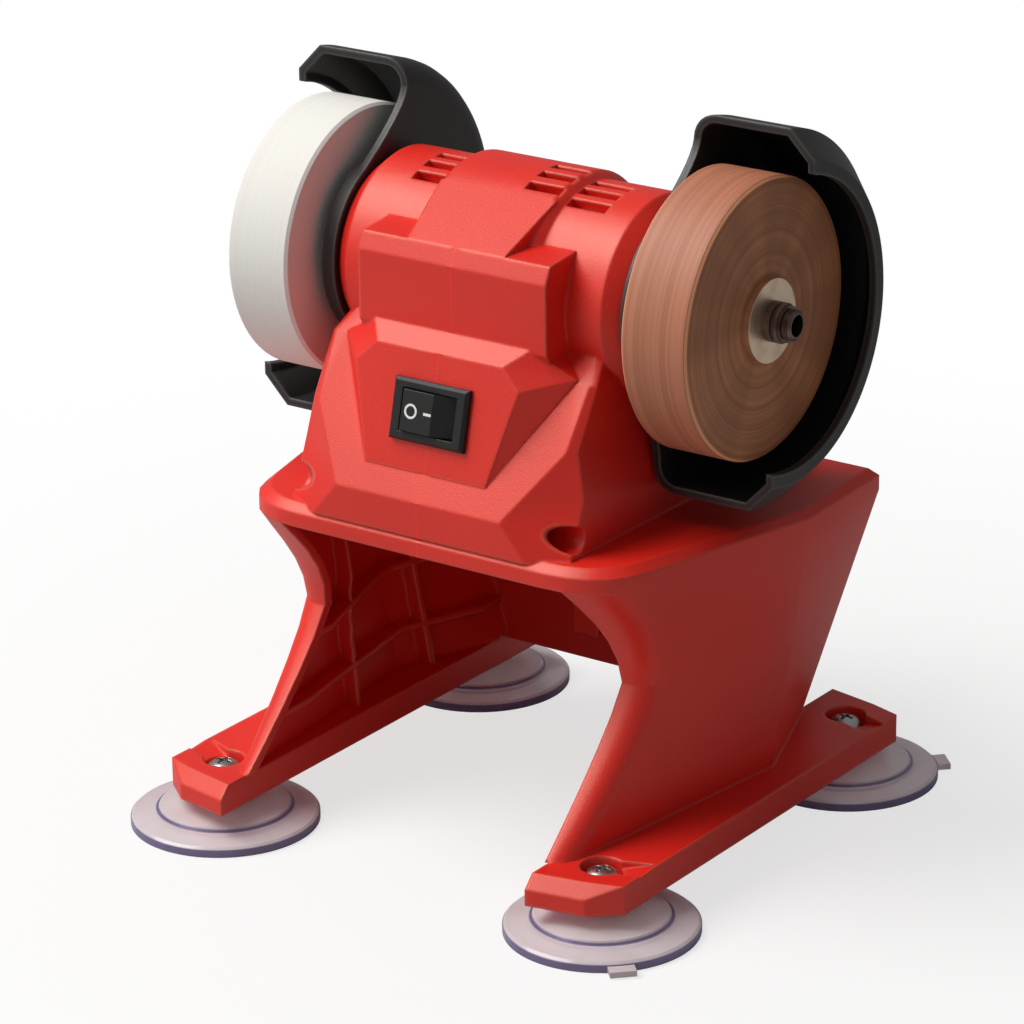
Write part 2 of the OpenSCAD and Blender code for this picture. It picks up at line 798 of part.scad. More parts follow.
// Profile of the guard from its side plate over the bend, rim and chamfer to the flange.
function guard_profile() =
  let (
    t = guard_wall,
    k = t * tan(22.5),
    bend_x = barrel_half + guard_bend,
    slope_x = guard_lip - guard_chamfer,
    slope_r = guard_r - guard_chamfer,
    tip_r = slope_r - guard_flange
  )
  concat(
    [for (a = [0 : 15 : 90]) [bend_x - guard_bend * cos(a), plate_r + guard_bend * sin(a)]],
    [[slope_x, guard_r], [guard_lip, slope_r], [guard_lip, tip_r], [guard_lip - t, tip_r],
     [guard_lip - t, slope_r - k], [slope_x - k, guard_r - t]],
    [for (a = [90 : -15 : 0])
      [bend_x - (guard_bend - t) * cos(a), plate_r + (guard_bend - t) * sin(a)]]
  );

module guard_half() {
  difference() {
    union() {
      intersection() {
        turn(guard_profile());
        along_spindle(0, far) rim_region();
      }
      along_spindle(barrel_half, barrel_half + guard_wall) intersection() {
        circle(plate_r);
        plate_region();
      }
      ring(barrel_half, guard_face, hub_d, 2 * guard_hole_r);
    }
    rod(0, far, 2 * guard_hole_r);
    guard_screw_sites() rod(0, far, guard_screw_d + 0.3, 0, 0);
  }
}

module guard_right() {
  color("dimgray") guard_half();
}

module guard_left() {
  color("dimgray") mirror([1, 0, 0]) guard_half();
}

module guard_screws() {
  head_d = guard_screw_d + 2.5;
  color("silver") both_sides() guard_screw_sites() {
    rod(bearing_in + 1, guard_face, guard_screw_d, 0, 0);
    rod(guard_face, guard_face + guard_screw_head_t, head_d, 0, 0);
  }
}

// Bearings

module bearing_outer_rings() {
  groove = ball_d + 2 * run_gap;
  color("lightgray") both_sides() translate([0, 0, axis_z]) rotate([0, 90, 0]) rotate_extrude() difference() {
    translate([bearing_d / 2 - race_t, bearing_in]) square([race_t, bearing_t]);
    translate([pitch_r, (bearing_in + bearing_out) / 2]) circle(d = groove);
  }
}

module bearing_inner_rings() {
  groove = ball_d + 2 * run_gap;
  color("lightgray") both_sides() translate([0, 0, axis_z]) rotate([0, 90, 0]) rotate_extrude() difference() {
    translate([spindle_d / 2, bearing_in]) square([race_t, bearing_t]);
    translate([pitch_r, (bearing_in + bearing_out) / 2]) circle(d = groove);
  }
}

module bearing_balls() {
  color("white") both_sides() for (i = [0 : ball_count - 1])
    translate([(bearing_in + bearing_out) / 2, 0, axis_z]) rotate([i * 360 / ball_count, 0, 0])
      translate([0, 0, pitch_r]) sphere(d = ball_d);
}

// Spindle and what turns with it

module spindle() {
  r = spindle_d / 2;
  end_r = thread_d / 2;
  edge = 0.6;
  step = wheel_out - 0.5;
  function half(side) = [[side * bearing_in, shoulder_d / 2], [side * bearing_in, r], [side * step, r],
    [side * step, end_r], [side * (spindle_end - edge), end_r], [side * spindle_end, end_r - edge],
    [side * spindle_end, 0]];
  left = half(-1);
  color("gray") difference() {
    turn(concat([for (i = [len(left) - 1 : -1 : 0]) left[i]], half(1)));
    rod(spindle_end - end_bore_len, spindle_end + 1, end_bore_d);
  }
}

module inner_flanges() {
  r = spindle_d / 2;
  color("slategray") both_sides() turn([
    [bearing_out, r], [bearing_out, sleeve_d / 2], [wheel_in - flange_t, sleeve_d / 2],
    [wheel_in - flange_t, flange_d / 2], [wheel_in, flange_d / 2], [wheel_in, r]]);
}

module wheel() {
  r = wheel_d / 2;
  e = wheel_edge;
  turn([[wheel_in, spindle_d / 2], [wheel_in, r - e], [wheel_in + e, r], [wheel_out - e, r],
        [wheel_out, r - e], [wheel_out, spindle_d / 2]]);
}

module white_wheel() {
  color("whitesmoke") mirror([1, 0, 0]) wheel();
}

module brown_wheel() {
  color("sienna") wheel();
}

module outer_washers() {
  color("silver") both_sides() ring(wheel_out, nut_in, washer_d, thread_d);
}

// Slim round nut with a groove and a stepped end.
module spindle_nuts() {
  r = nut_d / 2;
  groove = 0.6;
  step = 0.5;
  function at(share, r) = [nut_in + share * nut_t, r];
  color("darkslategray") both_sides() turn([
    at(0, thread_d / 2), at(0, r), at(0.43, r), at(0.47, r - groove), at(0.54, r - groove), at(0.58, r),
    at(0.72, r), at(0.78, r - step), at(1, r - step), at(1, thread_d / 2)]);
}

// Motor

module motor_can() {
  end_t = 2;
  color("darkgray") union() {
    ring(-can_half, can_half, can_d, 2 * can_in_r);
    ring(-can_half, -can_half + end_t, can_d - can_wall, 2 * shaft_hole_r);
  }
}

module motor_magnets() {
  reach = 3 * can_d;
  color("black") for (side = [0, 180]) intersection() {
    ring(core_mid - magnet_len / 2, core_mid + magnet_len / 2, 2 * can_in_r, 2 * magnet_in_r);
    along_spindle(-far, far) rotate(side) polygon([[0, 0],
      [reach * cos(magnet_arc / 2), -reach * sin(magnet_arc / 2)], [reach, 0],
      [reach * cos(magnet_arc / 2), reach * sin(magnet_arc / 2)]]);
  }
}

module brush_plate() {
  color("black") ring(can_half, can_half + brush_plate_t, can_d, 2 * shaft_hole_r);
}

module carbon_brushes() {
  color("black") for (side = [0, 180]) translate([0, 0, axis_z]) rotate([side, 0, 0]) intersection() {
    translate([commutator_x + 1, 0, -brush_w / 2])
      cube([brush_w, commutator_d / 2 + run_gap + brush_len, brush_w]);
    difference() {
      translate([0, 0, -axis_z]) rod(0, far, 2 * (commutator_d / 2 + brush_len));
      translate([0, 0, -axis_z]) rod(-1, far + 1, commutator_d + 2 * run_gap);
    }
  }
}

// Sprung copper arms that press the brushes on the commutator.
module brush_arms() {
  arm_t = 0.5;
  arm_y = commutator_d / 2 + brush_len;
  color("goldenrod") for (side = [0, 180]) translate([0, 0, axis_z]) rotate([side, 0, 0])
    translate([commutator_x + 1, arm_y, -brush_w / 2]) cube([can_half - commutator_x - 1, arm_t, brush_w]);
}

module armature_core() {
  slot_w = 2;
  color("gray") along_spindle(core_mid - core_len / 2, core_mid + core_len / 2) difference() {
    circle(core_r);
    circle(shoulder_d / 2);
    for (i = [0 : pole_count - 1]) rotate(i * 360 / pole_count) {
      translate([coil_circle, 0]) circle(coil_r);
      translate([coil_circle, -slot_w / 2]) square([core_r, slot_w]);
    }
  }
}

module armature_windings() {
  end = core_len / 2;
  color("chocolate") difference() {
    union() {
      for (i = [0 : pole_count - 1])
        along_spindle(core_mid - end - end_turn_t, core_mid + end + end_turn_t)
          rotate(i * 360 / pole_count) translate([coil_circle, 0]) circle(coil_r);
      for (x = [core_mid - end - end_turn_t, core_mid + end])
        rod(x, x + end_turn_t, 2 * (coil_circle + coil_r - 0.6));
    }
    rod(-far, far, shoulder_d);
  }
}

module commutator() {
  slit = 0.6;
  color("orange") difference() {
    ring(commutator_x, commutator_x + commutator_len, commutator_d, shoulder_d);
    for (i = [0 : pole_count - 1]) translate([0, 0, axis_z]) rotate([i * 360 / pole_count, 0, 0])
      translate([commutator_x - 1, -slit / 2, commutator_d / 2 - 1.2]) cube([commutator_len + 2, slit, 4]);
  }
}

// Switch

rocker_y = 0.5;
rocker_half = switch_h / 2 - 1;
rocker_ridge = [1.5, -3.9];
rocker_dip = -1.2;
rocker_back = 4;
// At rest the raised face left of the ridge lies along the bezel.
rocker_left = rocker_ridge[1] + (rocker_r + rocker_ridge[0]) * tan(rocker_throw / 2);
pocket_r = rocker_r + slide_gap;
pocket_half = rocker_half + slide_gap;
pin_d = 1.8;
pin_len = 0.4;

module switch_body() {
  edge = 0.8;
  function bezel_row(y, d) = [
    [-bezel_w / 2 + d, y, -bezel_h / 2 + d], [bezel_w / 2 - d, y, -bezel_h / 2 + d],
    [bezel_w / 2 - d, y, bezel_h / 2 - d], [-bezel_w / 2 + d, y, bezel_h / 2 - d]];
  color("black") at_switch() difference() {
    union() {
      skin([bezel_row(0, 0), bezel_row(-bezel_t + edge, 0), bezel_row(-bezel_t, edge)]);
      translate([-switch_w / 2, 0, -switch_h / 2]) cube([switch_w, switch_len, switch_h]);
    }
    translate([0, rocker_y, -pocket_half]) cylinder(h = 2 * pocket_half, r = pocket_r);
    translate([-pocket_r, -far, -pocket_half]) cube([2 * pocket_r, far + rocker_y, 2 * pocket_half]);
    translate([0, rocker_y, -pocket_half - pin_len])
      cylinder(h = 2 * (pocket_half + pin_len), d = pin_d + 2 * run_gap);
  }
}

// The rocker rests with its right end pressed in.
module switch_rocker() {
  color("black") at_switch() translate([0, rocker_y, 0]) rotate(rocker_throw / 2) {
    translate([0, 0, -rocker_half]) linear_extrude(2 * rocker_half) intersection() {
      circle(rocker_r);
      polygon([[-rocker_r, rocker_left], rocker_ridge, [rocker_r, rocker_dip],
        [rocker_r, rocker_back], [-rocker_r, rocker_back]]);
    }
    translate([0, 0, -pocket_half - pin_len + 0.1])
      cylinder(h = 2 * (pocket_half + pin_len) - 0.2, d = pin_d);
  }
}

terminal_in = 5;
terminal_len = 8;

module switch_terminals() {
  tab_w = 4.8;
  color("gold") at_switch() for (x = [-terminal_in, terminal_in])
    translate([x - blade_t / 2, switch_len, -tab_w / 2]) cube([blade_t, terminal_len, tab_w]);
}

// Battery dock and pack

dock_screw_d = 3;
dock_sink = 1.2;
dock_screw_sites = [for (z = [dock_z + 12, dock_z + dock_h - 6]) [dock_half - 8, z]];

// Plate on the rear wall with two rails that hold the pack's tongue.
module battery_dock() {
  color("black") difference() {
    union() {
      translate([-rail_out, rear_y, dock_z]) cube([2 * rail_out, dock_t, dock_h]);
      both_sides() {
        translate([dock_half, rear_y, dock_z]) cube([rail_w, lip_y + lip_t - rear_y, dock_h]);
        translate([dock_half - rail_w, lip_y, dock_z]) cube([2 * rail_w, lip_t, dock_h]);
      }
      translate([-dock_half, rear_y, dock_z]) cube([2 * dock_half, lip_y + lip_t - rear_y, terminal_h]);
      both_sides() translate([latch_w / 2 + slide_gap, rear_y + slide_gap, dock_z + dock_h - 1])
        cube([ear_t, latch_y + 2.4 - rear_y - slide_gap, latch_z + 2.4 - dock_z - dock_h + 1]);
    }
    rod(-far, far, latch_pin_d, latch_y, latch_z);
    both_sides() for (s = dock_screw_sites) translate([s[0], rail_y + 1, s[1]]) rotate([90, 0, 0]) {
      cylinder(h = far, d = dock_screw_d + 0.3);
      cylinder(h = 1 + dock_sink, d = dock_screw_d + 2.4);
    }
    both_sides() translate([lead_x, rear_y - 1, lead_z]) rotate([-90, 0, 0])
      cylinder(h = blade_y - rear_y + 1, d = lead_d + 0.6);
    for (x = terminal_x) translate([x - blade_t / 2, blade_y, blade_low])
      cube([blade_t, blade_w, terminal_h]);
  }
}

module dock_screws() {
  color("silver") both_sides() for (s = dock_screw_sites)
    translate([s[0], rail_y - dock_sink, s[1]]) rotate([90, 0, 0]) {
      cylinder(h = dock_t - dock_sink + wall + 1, d = dock_screw_d);
      translate([0, 0, -1]) cylinder(h = 1, d = dock_screw_d + 2);
    }
}

module dock_terminals() {
  color("gold") for (x = terminal_x)
    translate([x - blade_t / 2, blade_y, blade_low]) cube([blade_t, blade_w, 4 + blade_len]);
}

module pack_shell(a, b, open_a, open_b) {
  mid = pack_z + pack_h / 2;
  difference() {
    upright(pack_w, pack_h, pack_r, a, b, mid);
    upright(pack_w - 2 * pack_wall, pack_h - 2 * pack_wall, pack_r - pack_wall,
            open_a ? a - 1 : a + pack_wall, open_b ? b + 1 : b - pack_wall, mid);
  }
}

// Shell on the dock's side. Its two tongues run under the rails, the latch passes between them and
// bites into the window above.
module battery_front_case() {
  tongue = dock_half - slide_gap;
  neck = dock_half - rail_w - slide_gap;
  head_h = head_top - head_low;
  slot_w = blade_t + 2;
  window_w = tooth_w + 1;
  color("darkslategray") difference() {
    union() {
      pack_shell(pack_y, pack_split, false, true);
      both_sides() translate([channel, rail_y + slide_gap, head_low]) {
        cube([tongue - channel, lip_y - rail_y - 2 * slide_gap, head_h]);
        cube([neck - channel, pack_y - rail_y, head_h]);
      }
    }
    for (x = terminal_x) translate([x - slot_w / 2, rail_y - 1, head_low - 1])
      cube([slot_w, pack_y - rail_y + 0.6, blade_len + 2]);
    translate([-window_w / 2, pack_y - 1, tooth_z - tooth_bite])
      cube([window_w, pack_wall + 2, tooth_h + tooth_bite + 1]);
  }
}

module battery_back_case() {
  color("firebrick") difference() {
    pack_shell(pack_split, pack_back, true, false);
    for (i = [0 : 3]) translate([-pack_w / 2 + 12, pack_back - 0.8, pack_z + 12 + i * 5])
      cube([pack_w - 24, 2, 2]);
  }
}

module each_cell() {
  first = pack_z + pack_h / 2 - (cell_count - 1) * cell_pitch / 2;
  for (i = [0 : cell_count - 1]) translate([0, pack_split, first + i * cell_pitch]) children();
}

module battery_cells() {
  button_d = 6;
  color("steelblue") each_cell() {
    translate([-cell_len / 2, 0, 0]) rotate([0, 90, 0]) cylinder(h = cell_len, d = cell_d);
    translate([cell_len / 2, 0, 0]) rotate([0, 90, 0]) cylinder(h = 0.6, d = button_d);
  }
}

// Nickel straps that join the ends of neighbouring cells.
module cell_straps() {
  strap_w = 7;
  low = pack_z + pack_h / 2 - (cell_count - 1) * cell_pitch / 2 - 3;
  span = (cell_count - 1) * cell_pitch + 6;
  color("silver") {
    translate([cell_len / 2 + 0.6, pack_split - strap_w / 2, low]) cube([strap_t, strap_w, span]);
    translate([-cell_len / 2 - strap_t, pack_split - strap_w / 2, low]) cube([strap_t, strap_w, span]);
  }
}

// Lever between the dock's ears. It is drawn open, with its tooth just short of the pack.
module battery_latch() {
  pad_t = 1.4;
  color("black") difference() {
    union() {
      translate([-latch_w / 2, latch_y - lever_t / 2, latch_z]) cube([latch_w, lever_t, latch_top - latch_z]);
      rod(-latch_w / 2, latch_w / 2, latch_boss_d, latch_y, latch_z);
      for (i = [0 : 2]) translate([-latch_w / 2, latch_y - lever_t / 2 - pad_t, latch_top - 2 - 3 * i])
        cube([latch_w, pad_t + 0.2, 2]);
      translate([-tooth_w / 2, latch_y, tooth_z]) cube([tooth_w, pack_y - slide_gap - latch_y, tooth_h]);
    }
    rod(-far, far, latch_pin_d + 2 * run_gap, latch_y, latch_z);
  }
}

module latch_pin() {
  reach = latch_w / 2 + slide_gap + ear_t;
  color("silver") rod(-reach, reach, latch_pin_d, latch_y, latch_z);
}

// Feet

// Each cup has a pull tab. The one at the left front points back under its foot, the others to the outside.
module suction_cups() {
  r = cup_d / 2;
  ring_r = r * 0.7;
  neck = cup_neck_d / 2;
  tab_w = 7;
  tab_t = 1.6;
  tab_back = 115;
  color("thistle") for (x = [-1, 1], y = [-1, 1]) translate([x * foot_x, y * foot_y, 0]) difference() {
    union() {
      rotate_extrude() polygon([
        [0, foot_z], [neck, foot_z], [neck, foot_z - 2], [neck + 1.5, foot_z - 3],
        [ring_r - 0.4, cup_rim + 2.6], [ring_r + 0.3, cup_rim + 1.6], [r - 0.9, cup_rim + 0.2],
        [r, cup_rim - 0.6], [r, 0], [r - 1.6, 0], [ring_r - 1, cup_rim], [neck, 4], [0, 4.4]]);
      rotate(x + y < 0 ? tab_back : atan2(y, x))
        translate([r - 1, -tab_w / 2, 0.3]) cube([4.6, tab_w, tab_t]);
    }
    translate([0, 0, foot_z - screw_bite]) cylinder(h = 10, d = foot_screw_d);
  }
}

module foot_washers() {
  color("silver") four_feet() translate([0, 0, screw_seat]) difference() {
    cylinder(h = washer_foot_t, d = 10);
    translate([0, 0, -1]) cylinder(h = 4, d = foot_screw_d);
  }
}

module foot_screws() {
  head_h = 2.6;
  cross_w = 1.2;
  cross_len = 4.6;
  top = screw_seat + washer_foot_t;
  color("silver") four_feet() {
    translate([0, 0, foot_z - screw_bite]) cylinder(h = top - foot_z + screw_bite, d = foot_screw_d);
    translate([0, 0, top]) difference() {
      cylinder(h = head_h, d = 7.6);
      for (a = [0, 90]) rotate(a) translate([-cross_len / 2, -cross_w / 2, head_h - 1.4])
        cube([cross_len, cross_w, 2]);
    }
  }
}

// Wiring inside the housing

switch_end = switch_len + terminal_len;
switch_end_y = -switch_y + switch_end * cos(pod_lean);
switch_end_z = switch_z - switch_end * sin(pod_lean);
plate_x = can_half + brush_plate_t / 2;
plate_low = axis_z - can_d / 2;

// Point on a lead's straight way out of a switch terminal.
function off_switch(x, d) = [x, switch_end_y + d * cos(pod_lean), switch_end_z - d * sin(pod_lean)];

// Way of a lead from the dock up through the deck, on the side of x.
function riser(x) = [
  [x, blade_y, lead_z], [x, rear_y - wall - 2, lead_z], [x, lead_back, lead_z + 5],
  [x, lead_back, deck_z - 14], [x, lead_y, deck_z - 5], [x, lead_y, deck_z + 6],
  [x, lead_y - 12, deck_z + 11]
];

module red_leads() {
  color("red") {
    lead(concat(riser(lead_x),
                [[7, 2, deck_z + 14], off_switch(terminal_in, 8), off_switch(terminal_in, 0)]));
    lead([off_switch(-terminal_in, 0), off_switch(-terminal_in, 7), [10, -8, switch_end_z + 1],
          [24, -4, plate_low - 8], [plate_x, -4, plate_low - 4], [plate_x, -4, plate_low + 0.2]]);
  }
}

module black_lead() {
  color("black")
    lead(concat(riser(-lead_x), [[0, 8, deck_z + 15], [22, 4, plate_low - 9], [plate_x, 4, plate_low - 4],
                                 [plate_x, 4, plate_low + 0.2]]));
}

housing_left();
housing_right();
housing_bolts();
housing_nuts();
guard_left();
guard_right();
guard_screws();
bearing_outer_rings();
bearing_inner_rings();
bearing_balls();
spindle();
inner_flanges();
white_wheel();
brown_wheel();
outer_washers();
spindle_nuts();
motor_can();
motor_magnets();
brush_plate();
carbon_brushes();
brush_arms();
armature_core();
armature_windings();
commutator();
switch_body();
switch_rocker();
switch_terminals();
battery_dock();
dock_screws();
dock_terminals();
battery_front_case();
battery_back_case();
battery_cells();
cell_straps();
battery_latch();
latch_pin();
suction_cups();
foot_washers();
foot_screws();
red_leads();
black_lead();
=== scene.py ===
"""Looks of the cordless bench grinder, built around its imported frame.

Each sub-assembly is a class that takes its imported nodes, rounds and dresses them and adds the small pieces
that repeat. Lengths are in metres, +Z is up and +X runs along the spindle to the brown wheel.
"""

import json
import logging
import math
from dataclasses import dataclass, replace
from enum import Enum
from typing import Any, Optional, Sequence, Union

import bmesh
import bpy
from mathutils import Matrix, Vector

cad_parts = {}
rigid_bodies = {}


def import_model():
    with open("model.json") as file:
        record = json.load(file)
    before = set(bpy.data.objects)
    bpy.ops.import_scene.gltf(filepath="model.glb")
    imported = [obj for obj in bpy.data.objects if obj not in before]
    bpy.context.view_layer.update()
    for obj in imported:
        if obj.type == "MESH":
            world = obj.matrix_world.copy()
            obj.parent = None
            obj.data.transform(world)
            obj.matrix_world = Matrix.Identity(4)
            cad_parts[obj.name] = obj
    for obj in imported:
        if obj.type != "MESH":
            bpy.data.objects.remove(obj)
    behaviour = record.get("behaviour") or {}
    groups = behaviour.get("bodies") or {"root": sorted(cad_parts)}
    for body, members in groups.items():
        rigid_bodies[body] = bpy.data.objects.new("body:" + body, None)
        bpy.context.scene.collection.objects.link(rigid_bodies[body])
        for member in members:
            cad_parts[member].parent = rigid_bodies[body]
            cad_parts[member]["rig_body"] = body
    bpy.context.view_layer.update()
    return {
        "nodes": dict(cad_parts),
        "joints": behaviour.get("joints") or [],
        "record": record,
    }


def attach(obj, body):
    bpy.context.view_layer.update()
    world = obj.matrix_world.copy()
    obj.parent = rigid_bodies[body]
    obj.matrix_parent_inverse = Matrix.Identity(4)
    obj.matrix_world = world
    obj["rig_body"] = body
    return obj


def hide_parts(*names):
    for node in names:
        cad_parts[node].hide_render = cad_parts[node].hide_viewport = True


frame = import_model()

LOG = logging.getLogger("grinder")

MM = 0.001
AXIS_Z = 152 * MM  # height of the spindle above the bench
MERGE_GAP = 0.001 * MM  # points closer than this become one
SLIVER = 0.0005 * MM  # shorter edges are dissolved
FACE_WEIGHT = 80  # how far large faces lead the weighted normals
NOISE_MEAN = 0.5  # value that a noise wanders about
EDGE_SAMPLES = 6  # samples of the nodes that look for edges
EDGE_SHARE = (0.04, 0.3)  # hidden share where an edge starts and where it is full

Colour = tuple[float, float, float, float]
Point = tuple[float, float, float]
Span = tuple[float, float]
Socket = bpy.types.NodeSocket
Value = Union["Term", Socket, float, Sequence[float]]

WHITE: Colour = (1.0, 1.0, 1.0, 1.0)


def screen(red: int, green: int, blue: int) -> Colour:
    """Turns a screen colour into the linear colour that nodes take.

    Args:
        red: Red from 0 to 255.
        green: Green from 0 to 255.
        blue: Blue from 0 to 255.

    Returns:
        The linear colour with full alpha.
    """
    def linear(channel: int) -> float:
        """Undoes the standard screen curve for one channel."""
        share = channel / 255
        return share / 12.92 if share <= 0.04045 else ((share + 0.055) / 1.055) ** 2.4

    return linear(red), linear(green), linear(blue), 1.0


def scaled(colour: Colour, by: float) -> Colour:
    """Returns a colour that is lighter or darker by a factor."""
    return by * colour[0], by * colour[1], by * colour[2], 1.0


class Graph:
    """One node tree, of a material, the world or geometry, that is filled node by node."""

    def __init__(self, tree: bpy.types.NodeTree) -> None:
        """Keeps the tree and empties it."""
        self.tree = tree
        tree.nodes.clear()

    def add(self, kind: str, sockets: Optional[dict[Union[str, int], Value]] = None,
            **settings: Any) -> bpy.types.Node:
        """Adds one node.

        Args:
            kind: Blender's name for the node's type.
            sockets: Values or links of the node's inputs, by name or number.
            **settings: The node's own settings, which are set first.

        Returns:
            The new node.
        """
        node = self.tree.nodes.new(kind)
        for name, value in settings.items():
            setattr(node, name, value)
        for key, value in (sockets or {}).items():
            self.feed(node.inputs[key], value)
        return node

    def feed(self, socket: Socket, value: Value) -> None:
        """Links a socket or sets its value.

        Args:
            socket: Input that is fed.
            value: A term or socket to link, or a value to set.
        """
        if isinstance(value, Term):
            value = value.socket
        if isinstance(value, Socket):
            self.tree.links.new(value, socket)
        else:
            socket.default_value = value

    def end(self, kind: str, socket: Socket) -> None:
        """Adds the tree's output node and links what it shows."""
        self.feed(self.add(kind).inputs[0], socket)

    def term(self, socket: Socket) -> "Term":
        """Wraps a value socket for arithmetic."""
        return Term(self, socket)

    def vector(self, x: Value, y: Value, z: Value) -> Socket:
        """Joins three values into a vector."""
        return self.add("ShaderNodeCombineXYZ", {0: x, 1: y, 2: z}).outputs[0]


class Term:
    """A value socket in an expression; each operator adds its Math node."""

    def __init__(self, graph: Graph, socket: Socket) -> None:
        """Keeps the graph and the socket."""
        self.graph = graph
        self.socket = socket

    def _math(self, operation: str, *values: Value) -> "Term":
        """Adds a Math node on the given values."""
        node = self.graph.add("ShaderNodeMath", dict(enumerate(values)), operation=operation)
        return Term(self.graph, node.outputs[0])

    def __add__(self, other: Value) -> "Term":
        """Sum."""
        return self._math("ADD", self, other)

    __radd__ = __add__

    def __sub__(self, other: Value) -> "Term":
        """Difference."""
        return self._math("SUBTRACT", self, other)

    def __rsub__(self, other: Value) -> "Term":
        """Difference from a number."""
        return self._math("SUBTRACT", other, self)

    def __mul__(self, other: Value) -> "Term":
        """Product."""
        return self._math("MULTIPLY", self, other)

    __rmul__ = __mul__

    def __truediv__(self, other: Value) -> "Term":
        """Quotient."""
        return self._math("DIVIDE", self, other)

    def __rtruediv__(self, other: Value) -> "Term":
        """Quotient of a number."""
        return self._math("DIVIDE", other, self)

    def __pow__(self, other: Value) -> "Term":
        """Power."""
        return self._math("POWER", self, other)

    def __abs__(self) -> "Term":
        """Size without sign."""
        return self._math("ABSOLUTE", self)

    def sway(self, share: float) -> "Term":
        """Swings a noise about 0, by a share of its range."""
        return (self - NOISE_MEAN) * share

    def smooth(self, low: float, high: float) -> "Term":
        """Smooth step from 0 at low to 1 at high.

        Args:
            low: Value where the step starts.
            high: Value where it ends.

        Returns:
            The step.
        """
        node = self.graph.add("ShaderNodeMapRange", {"Value": self, "From Min": low, "From Max": high},
                              interpolation_type="SMOOTHSTEP")
        return Term(self.graph, node.outputs[0])


class Paint(Graph):
    """Node tree of a material, with the nodes that the finishes share."""

    def __init__(self, tree: bpy.types.NodeTree) -> None:
        """Starts with the shader, its output and the object's own coordinates.

        Args:
            tree: Node tree of the material.
        """
        super().__init__(tree)
        self.surface = self.add("ShaderNodeBsdfPrincipled")
        self.end("ShaderNodeOutputMaterial", self.surface.outputs[0])
        self.place = self.add("ShaderNodeTexCoord").outputs["Object"]

    def axes(self) -> tuple[Term, Term, Term]:
        """Returns the three coordinates of the surface as terms."""
        node = self.add("ShaderNodeSeparateXYZ", {0: self.place})
        return self.term(node.outputs[0]), self.term(node.outputs[1]), self.term(node.outputs[2])

    def about_spindle(self) -> tuple[Term, Term, Term, Term]:
        """Measures the surface from the spindle's axis.

        Returns:
            Place along the spindle, place behind it, height above it and distance from it.
        """
        x, y, z = self.axes()
        height = z - AXIS_Z
        return x, y, height, (y * y + height * height) ** 0.5

    def noise(self, waves: float = 1.0, detail: float = 2.0, vector: Optional[Value] = None) -> Term:
        """Adds noise.

        Args:
            waves: Waves in each metre, or in each unit of the vector.
            detail: Octaves.
            vector: Where the noise is read, or None for the object's coordinates.

        Returns:
            Values about NOISE_MEAN.
        """
        node = self.add("ShaderNodeTexNoise", {
            "Vector": self.place if vector is None else vector, "Scale": waves, "Detail": detail})
        return self.term(node.outputs[0])

    def mix(self, factor: Value, first: Value, second: Value) -> Socket:
        """Mixes two colours.

        Args:
            factor: Share of the second colour.
            first: Colour at 0.
            second: Colour at 1.

        Returns:
            The mixed colour.
        """
        node = self.add("ShaderNodeMix", {0: factor, 6: first, 7: second}, data_type="RGBA")
        return node.outputs[2]

    def bump(self, height: Value, depth: float, edge: Value) -> Socket:
        """Adds relief, over edges that the shader rounds.

        Args:
            height: Relief from 0 to 1.
            depth: Depth of the relief.
            edge: Radius of the rounded edges.

        Returns:
            The normal.
        """
        rounded = self.add("ShaderNodeBevel", {"Radius": edge}, samples=EDGE_SAMPLES).outputs[0]
        return self.add("ShaderNodeBump", {
            "Height": height, "Distance": depth, "Strength": 1.0, "Normal": rounded}).outputs[0]

    def corners(self, reach: float) -> Term:
        """Finds outer edges, where the inside of the piece is close.

        Args:
            reach: Width of the band along an edge.

        Returns:
            1 on sharp outer edges and 0 on flat or hollow places.
        """
        node = self.add("ShaderNodeAmbientOcclusion", {"Distance": reach}, inside=True, only_local=True,
                        samples=EDGE_SAMPLES)
        return (1 - self.term(node.outputs["AO"])).smooth(*EDGE_SHARE)

    def set(self, **sockets: Value) -> None:
        """Sets or links sockets of the shader, with _ for a space in their names."""
        for name, value in sockets.items():
            self.feed(self.surface.inputs[name.replace("_", " ")], value)


@dataclass(frozen=True)
class Finish:
    """A finish that makes its material once."""

    name: str

    def material(self) -> bpy.types.Material:
        """Makes the material on its first use.

        Returns:
            The finish's material.
        """
        found = bpy.data.materials.get(self.name)
        if found is None:
            found = bpy.data.materials.new(self.name)
            found.use_nodes = True
            self.paint(Paint(found.node_tree))
        return found

    def paint(self, paint: Paint) -> None:
        """Fills the material's nodes."""
        raise NotImplementedError


